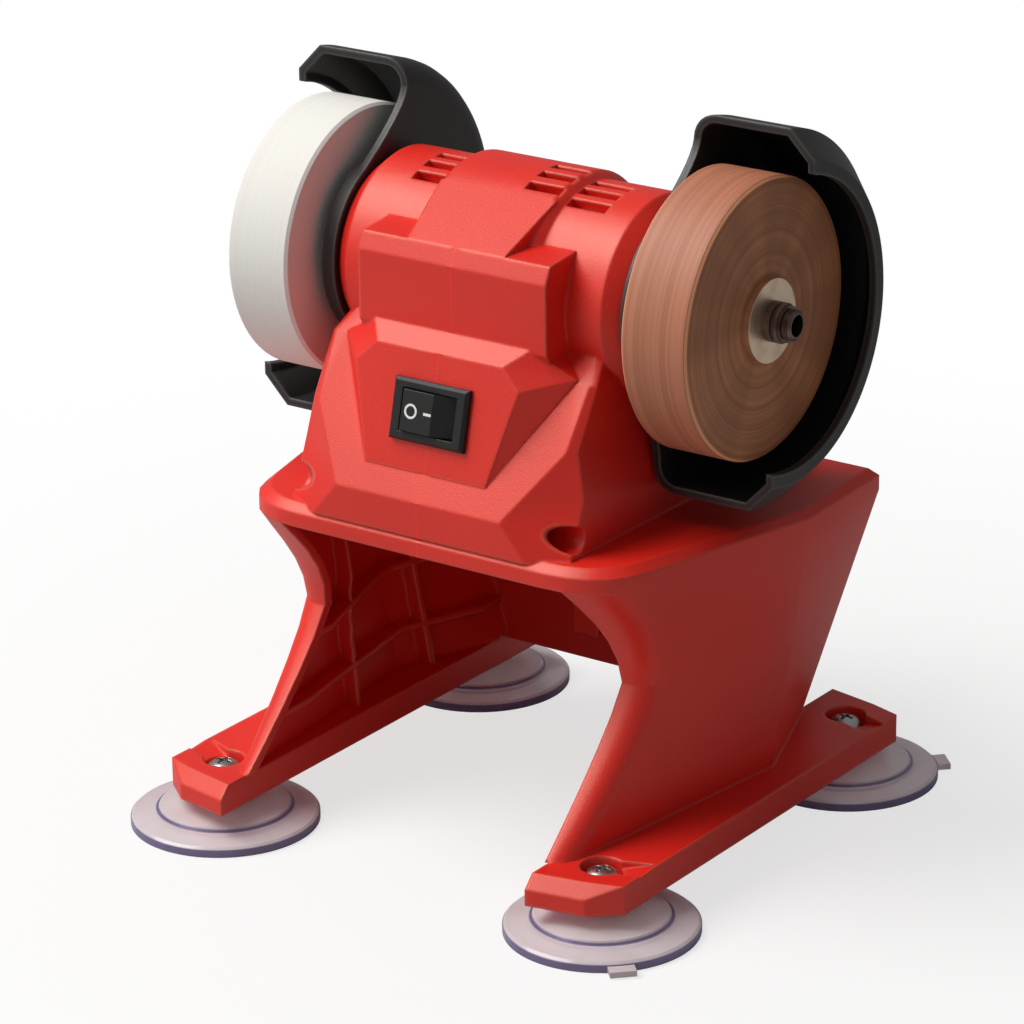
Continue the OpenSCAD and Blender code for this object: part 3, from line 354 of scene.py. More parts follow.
@dataclass(frozen=True)
class Moulded(Finish):
    """Moulded plastic with a fine eroded grain, and pale outer edges (rubbing wear and a painted highlight)
    and a parting line where it has them.
    """

    colour: Colour
    shade: Colour
    roughness: float
    grain: float
    depth: float
    edge: float
    parting: bool = False
    level: float = 0.4
    glint: Colour = WHITE
    # Outer edges are painted pale: partly rubbing wear, partly a painted highlight.
    wear_and_highlight: float = 0.0
    pale: Colour = WHITE
    wear_and_highlight_reach: float = 0.9 * MM
    rub_gloss: float = 0.1
    cloud_waves: float = 22.0
    cloud_span: Span = (0.3, 0.75)
    cloud_gloss: float = 0.08
    fleck: float = 0.24
    fleck_span: Span = (0.5, 0.7)
    fleck_light: float = 1.45
    fleck_gloss: float = 0.24
    seam: float = 0.22
    seam_light: float = 1.5
    seam_width: Span = (0.05 * MM, 0.3 * MM)
    seam_clear: Span = (0.6 * MM, 2.0 * MM)

    def paint(self, paint: Paint) -> None:
        """Mottles the colour, grains the surface, paints its outer edges pale as wear and painted highlight,
        and draws the parting line.

        Args:
            paint: Node tree of the material.
        """
        broad = paint.noise(self.cloud_waves)
        fine = paint.noise(1 / self.grain, detail=3)
        colour: Value = paint.mix(broad.smooth(*self.cloud_span), self.colour, self.shade)
        flecks = fine.smooth(*self.fleck_span) * self.fleck
        colour = paint.mix(flecks, colour, scaled(self.colour, self.fleck_light))
        gloss = self.roughness + broad.sway(self.cloud_gloss) + fine.sway(self.fleck_gloss)
        edge: Value = self.edge
        whole: Value = 1.0
        if self.parting:
            aside = abs(paint.axes()[0])
            whole = aside.smooth(*self.seam_clear)
            edge = whole * self.edge
            line = 1 - aside.smooth(*self.seam_width)
            colour = paint.mix(line * self.seam, colour, scaled(self.colour, self.seam_light))
        # Outer edges painted pale, partly rubbing wear and partly a painted highlight; their roughness drops
        # too.
        if self.wear_and_highlight > 0:
            worn_and_highlit = paint.corners(self.wear_and_highlight_reach) * whole
            colour = paint.mix(worn_and_highlit * self.wear_and_highlight, colour, self.pale)
            gloss = gloss - worn_and_highlit * self.rub_gloss
        paint.set(Base_Color=colour, Roughness=gloss, Specular_IOR_Level=self.level,
                  Specular_Tint=self.glint, Normal=paint.bump(fine, self.depth, edge))


@dataclass(frozen=True)
class Grit(Finish):
    """Bonded abrasive of a wheel, with a turned rim, chamfers and faces."""

    rim: Colour
    rim_streak: Colour
    face: Colour
    face_ring: Colour
    # Light colour of the painted highlight along the chamfered edge.
    edge: Colour
    streak: float
    roughness: float
    level: float = 0.3
    radius: float = 37.5 * MM
    rim_depths: Span = (0.2 * MM, 0.08 * MM)
    edge_depths: Span = (0.75 * MM, 0.6 * MM)
    edge_share: float = 0.85
    streak_waves: float = 520.0
    streak_drift: float = 5.0
    streak_span: Span = (0.36, 0.66)
    ring_waves: float = 480.0
    ring_drift: float = 2.0
    ring_span: Span = (0.34, 0.68)
    sector_waves: float = 1.3
    sector_span: Span = (0.42, 0.6)
    sector_share: float = 0.6
    sector_dark: float = 0.75
    groove_waves: float = 2600.0
    groove_drift: float = 3.0
    groove_span: Span = (0.5, 0.72)
    groove_share: float = 0.25
    groove_dark: float = 0.7
    groove_relief: float = 0.9
    grain_waves: float = 2600.0
    grain_span: Span = (0.5, 0.8)
    grain_share: float = 0.12
    grain_dark: float = 0.6
    grain_relief: float = 0.4
    grain_gloss: float = 0.2
    depth: float = 0.04 * MM
    edge_radius: float = 0.3 * MM

    def outside(self, radius: Term, depths: Span) -> Term:
        """Returns 1 nearer to the rim than a span of depths below it."""
        return radius.smooth(self.radius - depths[0], self.radius - depths[1])

    def paint(self, paint: Paint) -> None:
        """Runs streaks round the rim and rings over the faces, paints sheen in sectors over the faces and a
        highlight along the chamfered edge.

        Args:
            paint: Node tree of the material.
        """
        x, y, height, radius = paint.about_spindle()
        past_face = self.outside(radius, self.edge_depths)
        painted_edge_highlight = past_face - self.outside(radius, self.rim_depths)
        streaks = paint.noise(detail=3, vector=paint.vector(
            x * self.streak_waves, y * self.streak_drift, height * self.streak_drift))
        rings = paint.noise(detail=5, vector=paint.vector(
            radius * self.ring_waves, y * self.ring_drift, height * self.ring_drift))
        grooves = paint.noise(vector=paint.vector(
            radius * self.groove_waves, x * self.groove_waves, y * self.groove_drift))
        # Sectors of the faces are painted darker and lighter: a painted sheen in place of the turned faces'
        # reflection.
        sheen_sectors = paint.noise(detail=1, vector=paint.vector(
            y / radius * self.sector_waves, height / radius * self.sector_waves, 0.0))
        grain = paint.noise(self.grain_waves)
        rim = paint.mix(streaks.smooth(*self.streak_span) * self.streak, self.rim, self.rim_streak)
        face = paint.mix(rings.smooth(*self.ring_span) * self.streak, self.face, self.face_ring)
        face = paint.mix(sheen_sectors.smooth(*self.sector_span) * (self.sector_share * self.streak), face,
                         scaled(self.face_ring, self.sector_dark))
        colour = paint.mix(past_face, face, rim)
        colour = paint.mix(grooves.smooth(*self.groove_span) * (self.groove_share * self.streak), colour,
                           scaled(self.face_ring, self.groove_dark))
        colour = paint.mix(grain.smooth(*self.grain_span) * self.grain_share, colour,
                           scaled(self.face, self.grain_dark))
        # The chamfered edge is painted light all round, as a painted highlight.
        colour = paint.mix(painted_edge_highlight * self.edge_share, colour, self.edge)
        relief = grain * self.grain_relief + grooves * (self.streak * self.groove_relief)
        paint.set(Base_Color=colour, Roughness=self.roughness + grain.sway(self.grain_gloss),
                  Specular_IOR_Level=self.level, Normal=paint.bump(relief, self.depth, self.edge_radius))


@dataclass(frozen=True)
class Metal(Finish):
    """Metal with turning marks about the spindle, or a plain fine brush."""

    colour: Colour
    stain: Colour
    roughness: float
    turned: bool = False
    stain_waves: float = 160.0
    stain_span: Span = (0.4, 0.72)
    stain_share: float = 0.7
    stain_gloss: float = 0.25
    turned_waves: float = 5200.0
    brush_waves: float = 2400.0
    mark_gloss: float = 0.2
    depth: float = 0.008 * MM
    edge: float = 0.25 * MM

    def paint(self, paint: Paint) -> None:
        """Marks the metal and lets its gloss wander.

        Args:
            paint: Node tree of the material.
        """
        cloud = paint.noise(self.stain_waves, detail=4)
        if self.turned:
            x, _, _, radius = paint.about_spindle()
            marks = paint.noise(
                vector=paint.vector(radius * self.turned_waves, x * self.turned_waves, 0.0))
        else:
            marks = paint.noise(self.brush_waves)
        colour = paint.mix(cloud.smooth(*self.stain_span) * self.stain_share, self.colour, self.stain)
        gloss = self.roughness + cloud.sway(self.stain_gloss) + marks.sway(self.mark_gloss)
        paint.set(Base_Color=colour, Metallic=1.0, Roughness=gloss,
                  Normal=paint.bump(marks, self.depth, self.edge))


@dataclass(frozen=True)
class Vinyl(Finish):
    """Clear soft vinyl of the cups, tinted where it is thick."""

    clear: Colour
    warm: Colour
    tint: Colour
    centre: Span = (62.5 * MM, 60 * MM)
    radius: float = 26 * MM
    ring_shares: tuple[Span, Span] = ((0.69, 0.705), (0.72, 0.74))
    rim_shares: tuple[Span, Span] = ((0.985, 0.998), (1.002, 1.01))
    tint_share: float = 0.85
    haze_waves: float = 90.0
    haze_span: Span = (0.35, 0.75)
    haze_share: float = 0.35
    haze_gloss: float = 0.12
    roughness: float = 0.16
    through: float = 0.35
    bend: float = 1.42
    level: float = 0.5
    coat: float = 0.2
    depth: float = 0.02 * MM
    edge: float = 0.3 * MM

    def band(self, out: Term, shares: tuple[Span, Span]) -> Term:
        """Marks a ring about each screw.

        Args:
            out: Distance from the nearest screw.
            shares: Shares of the cup's radius over which the ring starts, and over which it ends.

        Returns:
            1 on the ring and 0 elsewhere.
        """
        rise, fall = shares
        return (out.smooth(rise[0] * self.radius, rise[1] * self.radius)
                - out.smooth(fall[0] * self.radius, fall[1] * self.radius))

    def paint(self, paint: Paint) -> None:
        """Tints the rim and the raised ring about each screw.

        Args:
            paint: Node tree of the material.
        """
        x, y, _ = paint.axes()
        across = abs(x) - self.centre[0]
        along = abs(y) - self.centre[1]
        out = (across * across + along * along) ** 0.5
        thick = self.band(out, self.ring_shares) + self.band(out, self.rim_shares)
        haze = paint.noise(self.haze_waves)
        colour = paint.mix(haze.smooth(*self.haze_span) * self.haze_share, self.clear, self.warm)
        colour = paint.mix(thick * self.tint_share, colour, self.tint)
        paint.set(Base_Color=colour, Roughness=self.roughness + haze * self.haze_gloss,
                  Transmission_Weight=self.through, IOR=self.bend, Specular_IOR_Level=self.level,
                  Coat_Weight=self.coat, Normal=paint.bump(haze, self.depth, self.edge))


@dataclass(frozen=True)
class Wound(Finish):
    """Enamelled wire laid side by side."""

    colour: Colour
    waves: float = 600.0
    waver: float = 0.6
    # Share of the colour left in the painted shade between the wires.
    dark: float = 0.45
    metallic: float = 0.7
    roughness: float = 0.3
    gloss: float = 0.1
    depth: float = 0.15 * MM
    edge: float = 0.1 * MM

    def paint(self, paint: Paint) -> None:
        """Runs the wires along the slots, with painted shade in the gaps between them.

        Args:
            paint: Node tree of the material.
        """
        _, y, z = paint.axes()
        lay = paint.add("ShaderNodeTexWave", {
            "Vector": paint.vector(y, z, 0.0), "Scale": self.waves, "Distortion": self.waver},
            wave_type="BANDS")
        height = paint.term(lay.outputs[1])
        # The gaps between the wires are painted darker, as painted shade.
        colour = paint.mix(height, scaled(self.colour, self.dark), self.colour)
        paint.set(Base_Color=colour, Metallic=self.metallic, Roughness=self.roughness + height * self.gloss,
                  Normal=paint.bump(height, self.depth, self.edge))


@dataclass(frozen=True)
class Marking(Finish):
    """Opaque white ink of the switch's signs."""

    colour: Colour
    thin: Colour = (0.6, 0.6, 0.6, 1.0)
    thin_share: float = 0.2
    cover_waves: float = 1500.0
    cover_span: Span = (0.55, 0.85)
    roughness: float = 0.55
    cover_gloss: float = 0.1

    def paint(self, paint: Paint) -> None:
        """Gives the ink a slightly uneven cover.

        Args:
            paint: Node tree of the material.
        """
        cover = paint.noise(self.cover_waves)
        colour = paint.mix(cover.smooth(*self.cover_span) * self.thin_share, self.colour, self.thin)
        paint.set(Base_Color=colour, Roughness=self.roughness + cover.sway(self.cover_gloss))


# The red plastic paints its outer edges light coral, partly as wear and partly as a painted highlight.
RED = Moulded(
    "red_grained_plastic", screen(232, 37, 25), screen(222, 30, 21), roughness=0.42, grain=0.45 * MM,
    depth=0.06 * MM, edge=1.3 * MM, parting=True, level=0.82, glint=screen(255, 234, 218), wear_and_highlight=0.22,
    pale=screen(255, 132, 108))
PACK_RED = replace(RED, name="red_pack_plastic", parting=False)
# The guard plastic paints its outer edges light grey, partly as wear and partly as a painted highlight.
CHARCOAL = Moulded(
    "charcoal_guard_plastic", screen(38, 37, 37), screen(31, 30, 30), roughness=0.46, grain=0.4 * MM,
    depth=0.035 * MM, edge=0.8 * MM, level=0.5, wear_and_highlight=0.25, pale=screen(120, 118, 116))
BLACK = Moulded(
    "black_satin_plastic", screen(33, 32, 32), screen(26, 25, 26), roughness=0.42, grain=0.3 * MM,
    depth=0.012 * MM, edge=0.4 * MM)
PACK_BLACK = Moulded(
    "black_pack_plastic", screen(40, 40, 42), screen(31, 31, 33), roughness=0.5, grain=0.5 * MM,
    depth=0.03 * MM, edge=0.8 * MM)
CARBON = Moulded(
    "brush_carbon", screen(38, 38, 40), screen(26, 26, 28), roughness=0.6, grain=0.3 * MM,
    depth=0.02 * MM, edge=0.2 * MM)
CELL_WRAP = Moulded(
    "cell_wrap_blue", screen(60, 112, 160), screen(46, 92, 140), roughness=0.32, grain=2 * MM,
    depth=0.01 * MM, edge=0.4 * MM)
RED_WIRE = Moulded(
    "red_wire_sleeve", screen(190, 30, 28), screen(160, 22, 20), roughness=0.4, grain=1 * MM,
    depth=0.01 * MM, edge=0.2 * MM)
BLACK_WIRE = replace(
    RED_WIRE, name="black_wire_sleeve", colour=screen(34, 34, 36), shade=screen(24, 24, 26))
# edge is the colour of the painted highlight along each wheel's chamfer.
WHITE_GRIT = Grit(
    "white_wheel_grit", rim=screen(236, 234, 229), rim_streak=screen(228, 225, 218),
    face=screen(234, 231, 225), face_ring=screen(224, 220, 212), edge=screen(244, 243, 240), streak=0.25,
    roughness=0.85)
BROWN_GRIT = Grit(
    "brown_wheel_grit", rim=screen(192, 122, 92), rim_streak=screen(168, 104, 77),
    face=screen(206, 133, 90), face_ring=screen(152, 95, 62), edge=screen(244, 170, 124), streak=0.75,
    roughness=0.55, level=0.5)
STEEL = Metal("turned_steel", screen(242, 216, 190), screen(210, 182, 154), 0.38, turned=True)
DARK_STEEL = Metal("blackened_steel", screen(122, 106, 98), screen(84, 68, 60), 0.36, turned=True)
FLANGE_STEEL = Metal("flange_steel", screen(120, 118, 116), screen(90, 88, 86), 0.45, turned=True)
ZINC = Metal("bright_zinc", screen(206, 206, 204), screen(168, 166, 160), 0.28)
GROUND = Metal("ground_bearing_steel", screen(200, 202, 206), screen(178, 180, 184), 0.16)
LAMINATION = Metal("lamination_steel", screen(120, 120, 124), screen(84, 84, 86), 0.5)
MAGNET = Metal("magnet_ferrite", screen(60, 60, 62), screen(44, 44, 46), 0.6)
CONTACT = Metal("contact_brass", screen(214, 184, 110), screen(176, 142, 78), 0.28)
COPPER = Wound("enamelled_copper", screen(186, 96, 58))
CUP_VINYL = Vinyl("clear_cup_vinyl", screen(238, 228, 232), screen(222, 202, 202), screen(84, 70, 138))
WHITE_INK = Marking("white_switch_ink", screen(236, 236, 234))


class Side(Enum):
    """Side of the grinder along the spindle."""

    LEFT = -1
    RIGHT = 1


def node_body(node: str) -> str:
    """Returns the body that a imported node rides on."""
    return frame["nodes"][node]["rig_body"]


def node_slot(node: str) -> str:
    """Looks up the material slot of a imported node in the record.

    Args:
        node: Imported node.

    Returns:
        Name of its slot.
    """
    for part in frame["record"]["subparts"]:
        if part["node"] == node:
            return part["material_slot"]
    raise KeyError(node)


def new_object(name: str, data: bpy.types.ID) -> bpy.types.Object:
    """Links a mesh, a lamp or a camera into the scene as an object at the origin.

    Args:
        name: Name of the object.
        data: What it shows.

    Returns:
        The object.
    """
    made = bpy.data.objects.new(name, data)
    bpy.context.scene.collection.objects.link(made)
    return made


def settle(piece: bpy.types.Object, body: str, slot: str, *nodes: str) -> None:
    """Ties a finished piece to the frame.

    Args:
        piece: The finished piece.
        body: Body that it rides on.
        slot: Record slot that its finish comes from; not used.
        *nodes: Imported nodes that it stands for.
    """
    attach(piece, body)
    if nodes:
        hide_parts(*nodes)
    LOG.info("%s rides on %s with %d faces", piece.name, body, len(piece.data.polygons))


def evaluated(piece: bpy.types.Object) -> bpy.types.Mesh:
    """Returns the piece's mesh with its modifiers applied."""
    graph = bpy.context.evaluated_depsgraph_get()
    return bpy.data.meshes.new_from_object(piece.evaluated_get(graph))


def shade(mesh: bpy.types.Mesh, crisp: float) -> None:
    """Shades a mesh smooth, but for edges sharper than a number of degrees."""
    mesh.shade_smooth()
    mesh.set_sharp_from_angle(angle=math.radians(crisp))


def close_mesh(shape: bmesh.types.BMesh, name: str, material: bpy.types.Material) -> bpy.types.Mesh:
    """Turns a shape in the making into a mesh of one material.

    Args:
        shape: The shape, which is freed.
        name: Name of the mesh.
        material: Its material.

    Returns:
        The mesh.
    """
    mesh = bpy.data.meshes.new(name)
    shape.to_mesh(mesh)
    shape.free()
    mesh.materials.append(material)
    return mesh


def bridge(shape: bmesh.types.BMesh, rows: Sequence[Sequence[bmesh.types.BMVert]]) -> None:
    """Lays faces between each row of points and the next.

    Args:
        shape: Shape that holds the points.
        rows: Rows of equal length, each of them a closed section.
    """
    for row, following in zip(rows, rows[1:]):
        for i in range(len(row)):
            j = (i + 1) % len(row)
            shape.faces.new((row[i], row[j], following[j], following[i]))


def smooth_copy(node: str, name: str, finish: Finish, crisp: float) -> None:
    """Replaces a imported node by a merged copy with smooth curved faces.

    Args:
        node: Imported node.
        name: Name of the new piece.
        finish: Finish of the piece.
        crisp: Edges sharper than this many degrees stay crisp.
    """
    mesh = frame["nodes"][node].data.copy()
    mesh.name = name
    shape = bmesh.new()
    shape.from_mesh(mesh)
    bmesh.ops.remove_doubles(shape, verts=shape.verts, dist=MERGE_GAP)
    bmesh.ops.dissolve_degenerate(shape, dist=SLIVER, edges=shape.edges)
    shape.to_mesh(mesh)
    shape.free()
    for layer in [a.name for a in mesh.attributes if a.name in ("custom_normal", "sharp_edge")]:
        mesh.attributes.remove(mesh.attributes[layer])
    shade(mesh, crisp)
    mesh.materials.clear()
    mesh.materials.append(finish.material())
    piece = new_object(name, mesh)
    weigh = piece.modifiers.new("weigh", "WEIGHTED_NORMAL")
    weigh.keep_sharp = True
    weigh.weight = FACE_WEIGHT
    result = evaluated(piece)
    piece.modifiers.clear()
    piece.data = result
    settle(piece, node_body(node), node_slot(node), node)


def dress_nodes(**finishes: Finish) -> None:
    """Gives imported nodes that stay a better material.

    Args:
        **finishes: Finish of each node, by the node's name.
    """
    for node, finish in finishes.items():
        slots = frame["nodes"][node].data.materials
        slots.clear()
        slots.append(finish.material())
        LOG.info("%s keeps its shape and takes %s", node, finish.name)


class Grower(Graph):
    """Geometry tree with named inputs that ends in Realize Instances and Set Material."""

    def __init__(self, name: str, **sizes: float) -> None:
        """Makes the tree with one named input for each size.

        Args:
            name: Name of the tree.
            **sizes: Value of each input, by the input's name.
        """
        super().__init__(bpy.data.node_groups.new(name, "GeometryNodeTree"))
        self.sizes = sizes
        face = self.tree.interface
        face.new_socket(name="Geometry", in_out="OUTPUT", socket_type="NodeSocketGeometry")
        self.sockets = {key: face.new_socket(name=key, in_out="INPUT", socket_type="NodeSocketFloat")
                        for key in sizes}
        self.entry = self.add("NodeGroupInput")

    def size(self, key: str) -> Term:
        """Returns one of the tree's inputs."""
        return self.term(self.entry.outputs[key])

    def move(self, geometry: Value, place: Value = (0, 0, 0), turn: Value = (0, 0, 0),
             scale: Value = (1, 1, 1)) -> Socket:
        """Moves, turns and scales geometry.

        Args:
            geometry: Geometry to move.
            place: Shift.
            turn: Turn about the three axes in radians.
            scale: Scale along the three axes.

        Returns:
            The moved geometry.
        """
        return self.add("GeometryNodeTransform", {
            "Geometry": geometry, "Translation": place, "Rotation": turn, "Scale": scale}).outputs[0]

    def lift(self, geometry: Value, height: Value) -> Socket:
        """Moves geometry up."""
        return self.move(geometry, self.vector(0.0, 0.0, height))

    def ball(self, segments: int, rings: int, scale: Value) -> Socket:
        """Makes a ball of radius 1 and scales it along the three axes."""
        sizes = {"Segments": segments, "Rings": rings, "Radius": 1.0}
        return self.move(self.add("GeometryNodeMeshUVSphere", sizes).outputs[0], scale=scale)

    def block(self, x: Value, y: Value, z: Value) -> Socket:
        """Makes a block of the given sides about the origin."""
        return self.add("GeometryNodeMeshCube", {"Size": self.vector(x, y, z)}).outputs[0]

    def join(self, *parts: Socket) -> Socket:
        """Joins geometry.

        Args:
            *parts: What is joined.

        Returns:
            All of it.
        """
        node = self.add("GeometryNodeJoinGeometry")
        for part in parts:
            self.feed(node.inputs[0], part)
        return node.outputs[0]

    def repeat(self, points: Value, shape: Value) -> Socket:
        """Puts the shape on each point."""
        node = self.add("GeometryNodeInstanceOnPoints", {"Points": points, "Instance": shape})
        return node.outputs[0]

    def cut(self, solid: Value, *tools: Value) -> Socket:
        """Cuts tools out of a solid.

        Args:
            solid: Solid that is cut.
            *tools: What is taken out of it.

        Returns:
            What is left.
        """
        node = self.add("GeometryNodeMeshBoolean", {"Mesh 1": solid}, operation="DIFFERENCE", solver="EXACT")
        for tool in tools:
            self.feed(node.inputs["Mesh 2"], tool)
        return node.outputs[0]

    def grow(self, geometry: Value, name: str, finish: Finish, crisp: float) -> bpy.types.Object:
        """Ends the tree and turns its result into a plain mesh.

        Args:
            geometry: What the tree makes.
            name: Name of the new piece.
            finish: Finish of the piece.
            crisp: Edges sharper than this many degrees stay crisp.

        Returns:
            The piece, not yet tied to the frame.
        """
        material = finish.material()
        real = self.add("GeometryNodeRealizeInstances", {0: geometry}).outputs[0]
        painted = self.add("GeometryNodeSetMaterial", {"Geometry": real, "Material": material})
        self.end("NodeGroupOutput", painted.outputs[0])
        piece = new_object(name, bpy.data.meshes.new(name))
        modifier = piece.modifiers.new("grow", "NODES")
        modifier.node_group = self.tree
        for key, value in self.sizes.items():
            modifier[self.sockets[key].identifier] = value
        mesh = evaluated(piece)
        piece.modifiers.clear()
        mesh.name = name
        shape = bmesh.new()
        shape.from_mesh(mesh)
        bmesh.ops.remove_doubles(shape, verts=shape.verts, dist=MERGE_GAP)
        bmesh.ops.recalc_face_normals(shape, faces=shape.faces)
        shape.to_mesh(mesh)
        shape.free()
        shade(mesh, crisp)
        if not mesh.materials:
            mesh.materials.append(material)
        piece.data = mesh
        return piece


@dataclass
class Housing:
    """The two red halves, what joins them and the baffles behind the vents."""

    crisp: float = 24.0
    baffle_radius: float = 24.6 * MM
    baffle_wall: float = 0.8 * MM
    baffle_turns: Span = (-14.0, 42.0)
    baffle_steps: int = 20
    baffle_crisp: float = 40.0
    baffle_spans: tuple[Span, ...] = (
        (-30.5 * MM, -19.9 * MM), (5.6 * MM, 17.9 * MM), (20.0 * MM, 33.5 * MM))

    def build(self) -> None:
        """Dresses the halves and their screws, and lines the vents."""
        smooth_copy("housing_left", "left_housing_half", RED, self.crisp)
        smooth_copy("housing_right", "right_housing_half", RED, self.crisp)
        dress_nodes(housing_bolts=ZINC, housing_nuts=ZINC)
        self.line_vents()

    def line_vents(self) -> None:
        """Sets a curved baffle behind each group of vent slots."""
        shape = bmesh.new()
        for low, high in self.baffle_spans:
            self.add_baffle(shape, low, high)
        bmesh.ops.recalc_face_normals(shape, faces=shape.faces)
        mesh = close_mesh(shape, "vent_baffles", RED.material())
        shade(mesh, self.baffle_crisp)
        settle(new_object("vent_baffles", mesh), "base", "red_plastic")

    def add_baffle(self, shape: bmesh.types.BMesh, low: float, high: float) -> None:
        """Adds one curved baffle to a shape.

        Args:
            shape: Shape that takes the baffle.
            low: Its left end along the spindle.
            high: Its right end.
        """
        inner, outer = self.baffle_radius - self.baffle_wall, self.baffle_radius
        first, last = self.baffle_turns
        rows = []
        for i in range(self.baffle_steps + 1):
            turn = math.radians(first + (last - first) * i / self.baffle_steps)
            away = Vector((0, -math.sin(turn), math.cos(turn)))
            rows.append([shape.verts.new(Vector((x, 0, AXIS_Z)) + away * radius)
                         for x, radius in ((low, inner), (low, outer), (high, outer), (high, inner))])
        bridge(shape, rows)
        shape.faces.new(rows[0])
        shape.faces.new(rows[-1])


@dataclass
class Guards:
    """The two curved guards and their screws."""

    crisp: float = 24.0
    screw_crisp: float = 30.0

    def build(self) -> None:
        """Dresses the guards and their screws."""
        smooth_copy("guard_left", "left_wheel_guard", CHARCOAL, self.crisp)
        smooth_copy("guard_right", "right_wheel_guard", CHARCOAL, self.crisp)
        smooth_copy("guard_screws", "guard_screw_heads", ZINC, self.screw_crisp)


@dataclass
class Rotor:
    """The wheels, their clamps and the spindle with its threads."""

    crisp: float = 30.0
    nut_crisp: float = 22.0
    thread_crisp: float = 60.0
    thread_radius: float = 3.98 * MM
    thread_depth: float = 0.16 * MM
    thread_pitch: float = 0.5 * MM
    thread_start: float = 80.7 * MM
    thread_end: float = 82.3 * MM
    thread_steps: int = 40
    thread_corners: int = 4

    def build(self) -> None:
        """Dresses what turns and winds the threads."""
        smooth_copy("white_wheel", "white_grinding_wheel", WHITE_GRIT, self.crisp)
        smooth_copy("brown_wheel", "brown_honing_wheel", BROWN_GRIT, self.crisp)
        smooth_copy("inner_flanges", "wheel_flanges", FLANGE_STEEL, self.crisp)
        smooth_copy("outer_washers", "wheel_washers", STEEL, self.crisp)
        smooth_copy("spindle_nuts", "round_spindle_nuts", DARK_STEEL, self.nut_crisp)
        smooth_copy("spindle", "hollow_spindle", DARK_STEEL, self.crisp)
        dress_nodes(bearing_inner_rings=GROUND, armature_core=LAMINATION, armature_windings=COPPER,
                    commutator=CONTACT)
        self.wind_threads()

    def wind_threads(self) -> None:
        """Winds a thread round each end of the spindle."""
        length = self.thread_end - self.thread_start
        grower = Grower("spindle_thread", Radius=self.thread_radius, Depth=self.thread_depth, Length=length,
                        Turns=length / self.thread_pitch, Start=self.thread_start, Height=AXIS_Z)
        spiral = grower.add("GeometryNodeCurveSpiral", {
            "Resolution": self.thread_steps, "Rotations": grower.size("Turns"),
            "Start Radius": grower.size("Radius"), "End Radius": grower.size("Radius"),
            "Height": grower.size("Length")})
        section = grower.add("GeometryNodeCurvePrimitiveCircle", {
            "Resolution": self.thread_corners, "Radius": grower.size("Depth")}, mode="RADIUS")
        thread = grower.add("GeometryNodeCurveToMesh", {
            0: spiral.outputs[0], 1: section.outputs[0], "Fill Caps": True}).outputs[0]
        ends = []
        for side in Side:
            place = grower.vector(grower.size("Start") * side.value, 0.0, grower.size("Height"))
            ends.append(grower.move(thread, place, (0, side.value * math.pi / 2, 0)))
        piece = grower.grow(grower.join(*ends), "spindle_threads", DARK_STEEL, self.thread_crisp)
        settle(piece, "rotor", "dark_steel")


@dataclass
class Motor:
    """What drives the spindle, out of sight inside the barrel."""

    def build(self) -> None:
        """Dresses the motor, the bearings and the leads."""
        dress_nodes(motor_can=STEEL, motor_magnets=MAGNET, brush_plate=BLACK, carbon_brushes=CARBON,
                    brush_arms=CONTACT, bearing_outer_rings=GROUND, bearing_balls=GROUND, red_leads=RED_WIRE,
                    black_lead=BLACK_WIRE)


@dataclass
class Switch:
    """The rocker switch with its two signs."""

    crisp: float = 30.0
    cap_crisp: float = 22.0
    lean: float = math.radians(13.74)
    face_out: float = 3.62 * MM
    line: float = 0.6 * MM
    ink: float = 0.06 * MM
    ring_radius: float = 1.7 * MM
    ring_place: float = -4.6 * MM
    ring_steps: int = 40
    bar_place: float = 0.7 * MM
    bar_length: float = 2.4 * MM
    bar_width: float = 0.72 * MM

    def build(self) -> None:
        """Dresses the switch and prints its signs."""
        smooth_copy("switch_body", "switch_bezel", BLACK, self.crisp)
        smooth_copy("switch_rocker", "switch_rocker_cap", BLACK, self.cap_crisp)
        dress_nodes(switch_terminals=CONTACT)
        self.print_signs()

    def face_frame(self) -> Matrix:
        """Finds the rocker's raised half.

        Returns:
            The frame on it: X along it, Y up and Z out of it.
        """
        joint = next(j for j in frame["joints"] if j["name"] == "rocker_tilt")
        stand = Matrix.Translation((0, -self.face_out, 0)) @ Matrix.Rotation(math.radians(90), 4, "X")
        return Matrix.Translation(Vector(joint["pos_m"])) @ Matrix.Rotation(-self.lean, 4, "X") @ stand

    def print_signs(self) -> None:
        """Prints the ring and the bar as thin raised ink."""
        shape = bmesh.new()
        inner, outer = self.ring_radius - self.line / 2, self.ring_radius + self.line / 2
        rows = []
        for i in range(self.ring_steps):
            turn = 2 * math.pi * i / self.ring_steps
            away = Vector((math.cos(turn), math.sin(turn), 0))
            rows.append([shape.verts.new(Vector((self.ring_place, 0, z)) + away * radius) for radius, z in (
                (inner, -self.ink), (inner, self.ink), (outer, self.ink), (outer, -self.ink))])
        bridge(shape, rows + rows[:1])
        bar = bmesh.ops.create_cube(shape, size=1.0)["verts"]
        bmesh.ops.scale(shape, vec=(self.bar_length, self.bar_width, 2 * self.ink), verts=bar)
        bmesh.ops.translate(shape, vec=(self.bar_place, 0, 0), verts=bar)
        bmesh.ops.recalc_face_normals(shape, faces=shape.faces)
        bmesh.ops.transform(shape, matrix=self.face_frame(), verts=shape.verts)
        mesh = close_mesh(shape, "switch_signs", WHITE_INK.material())
        settle(new_object("switch_signs", mesh), "rocker", "black_plastic")


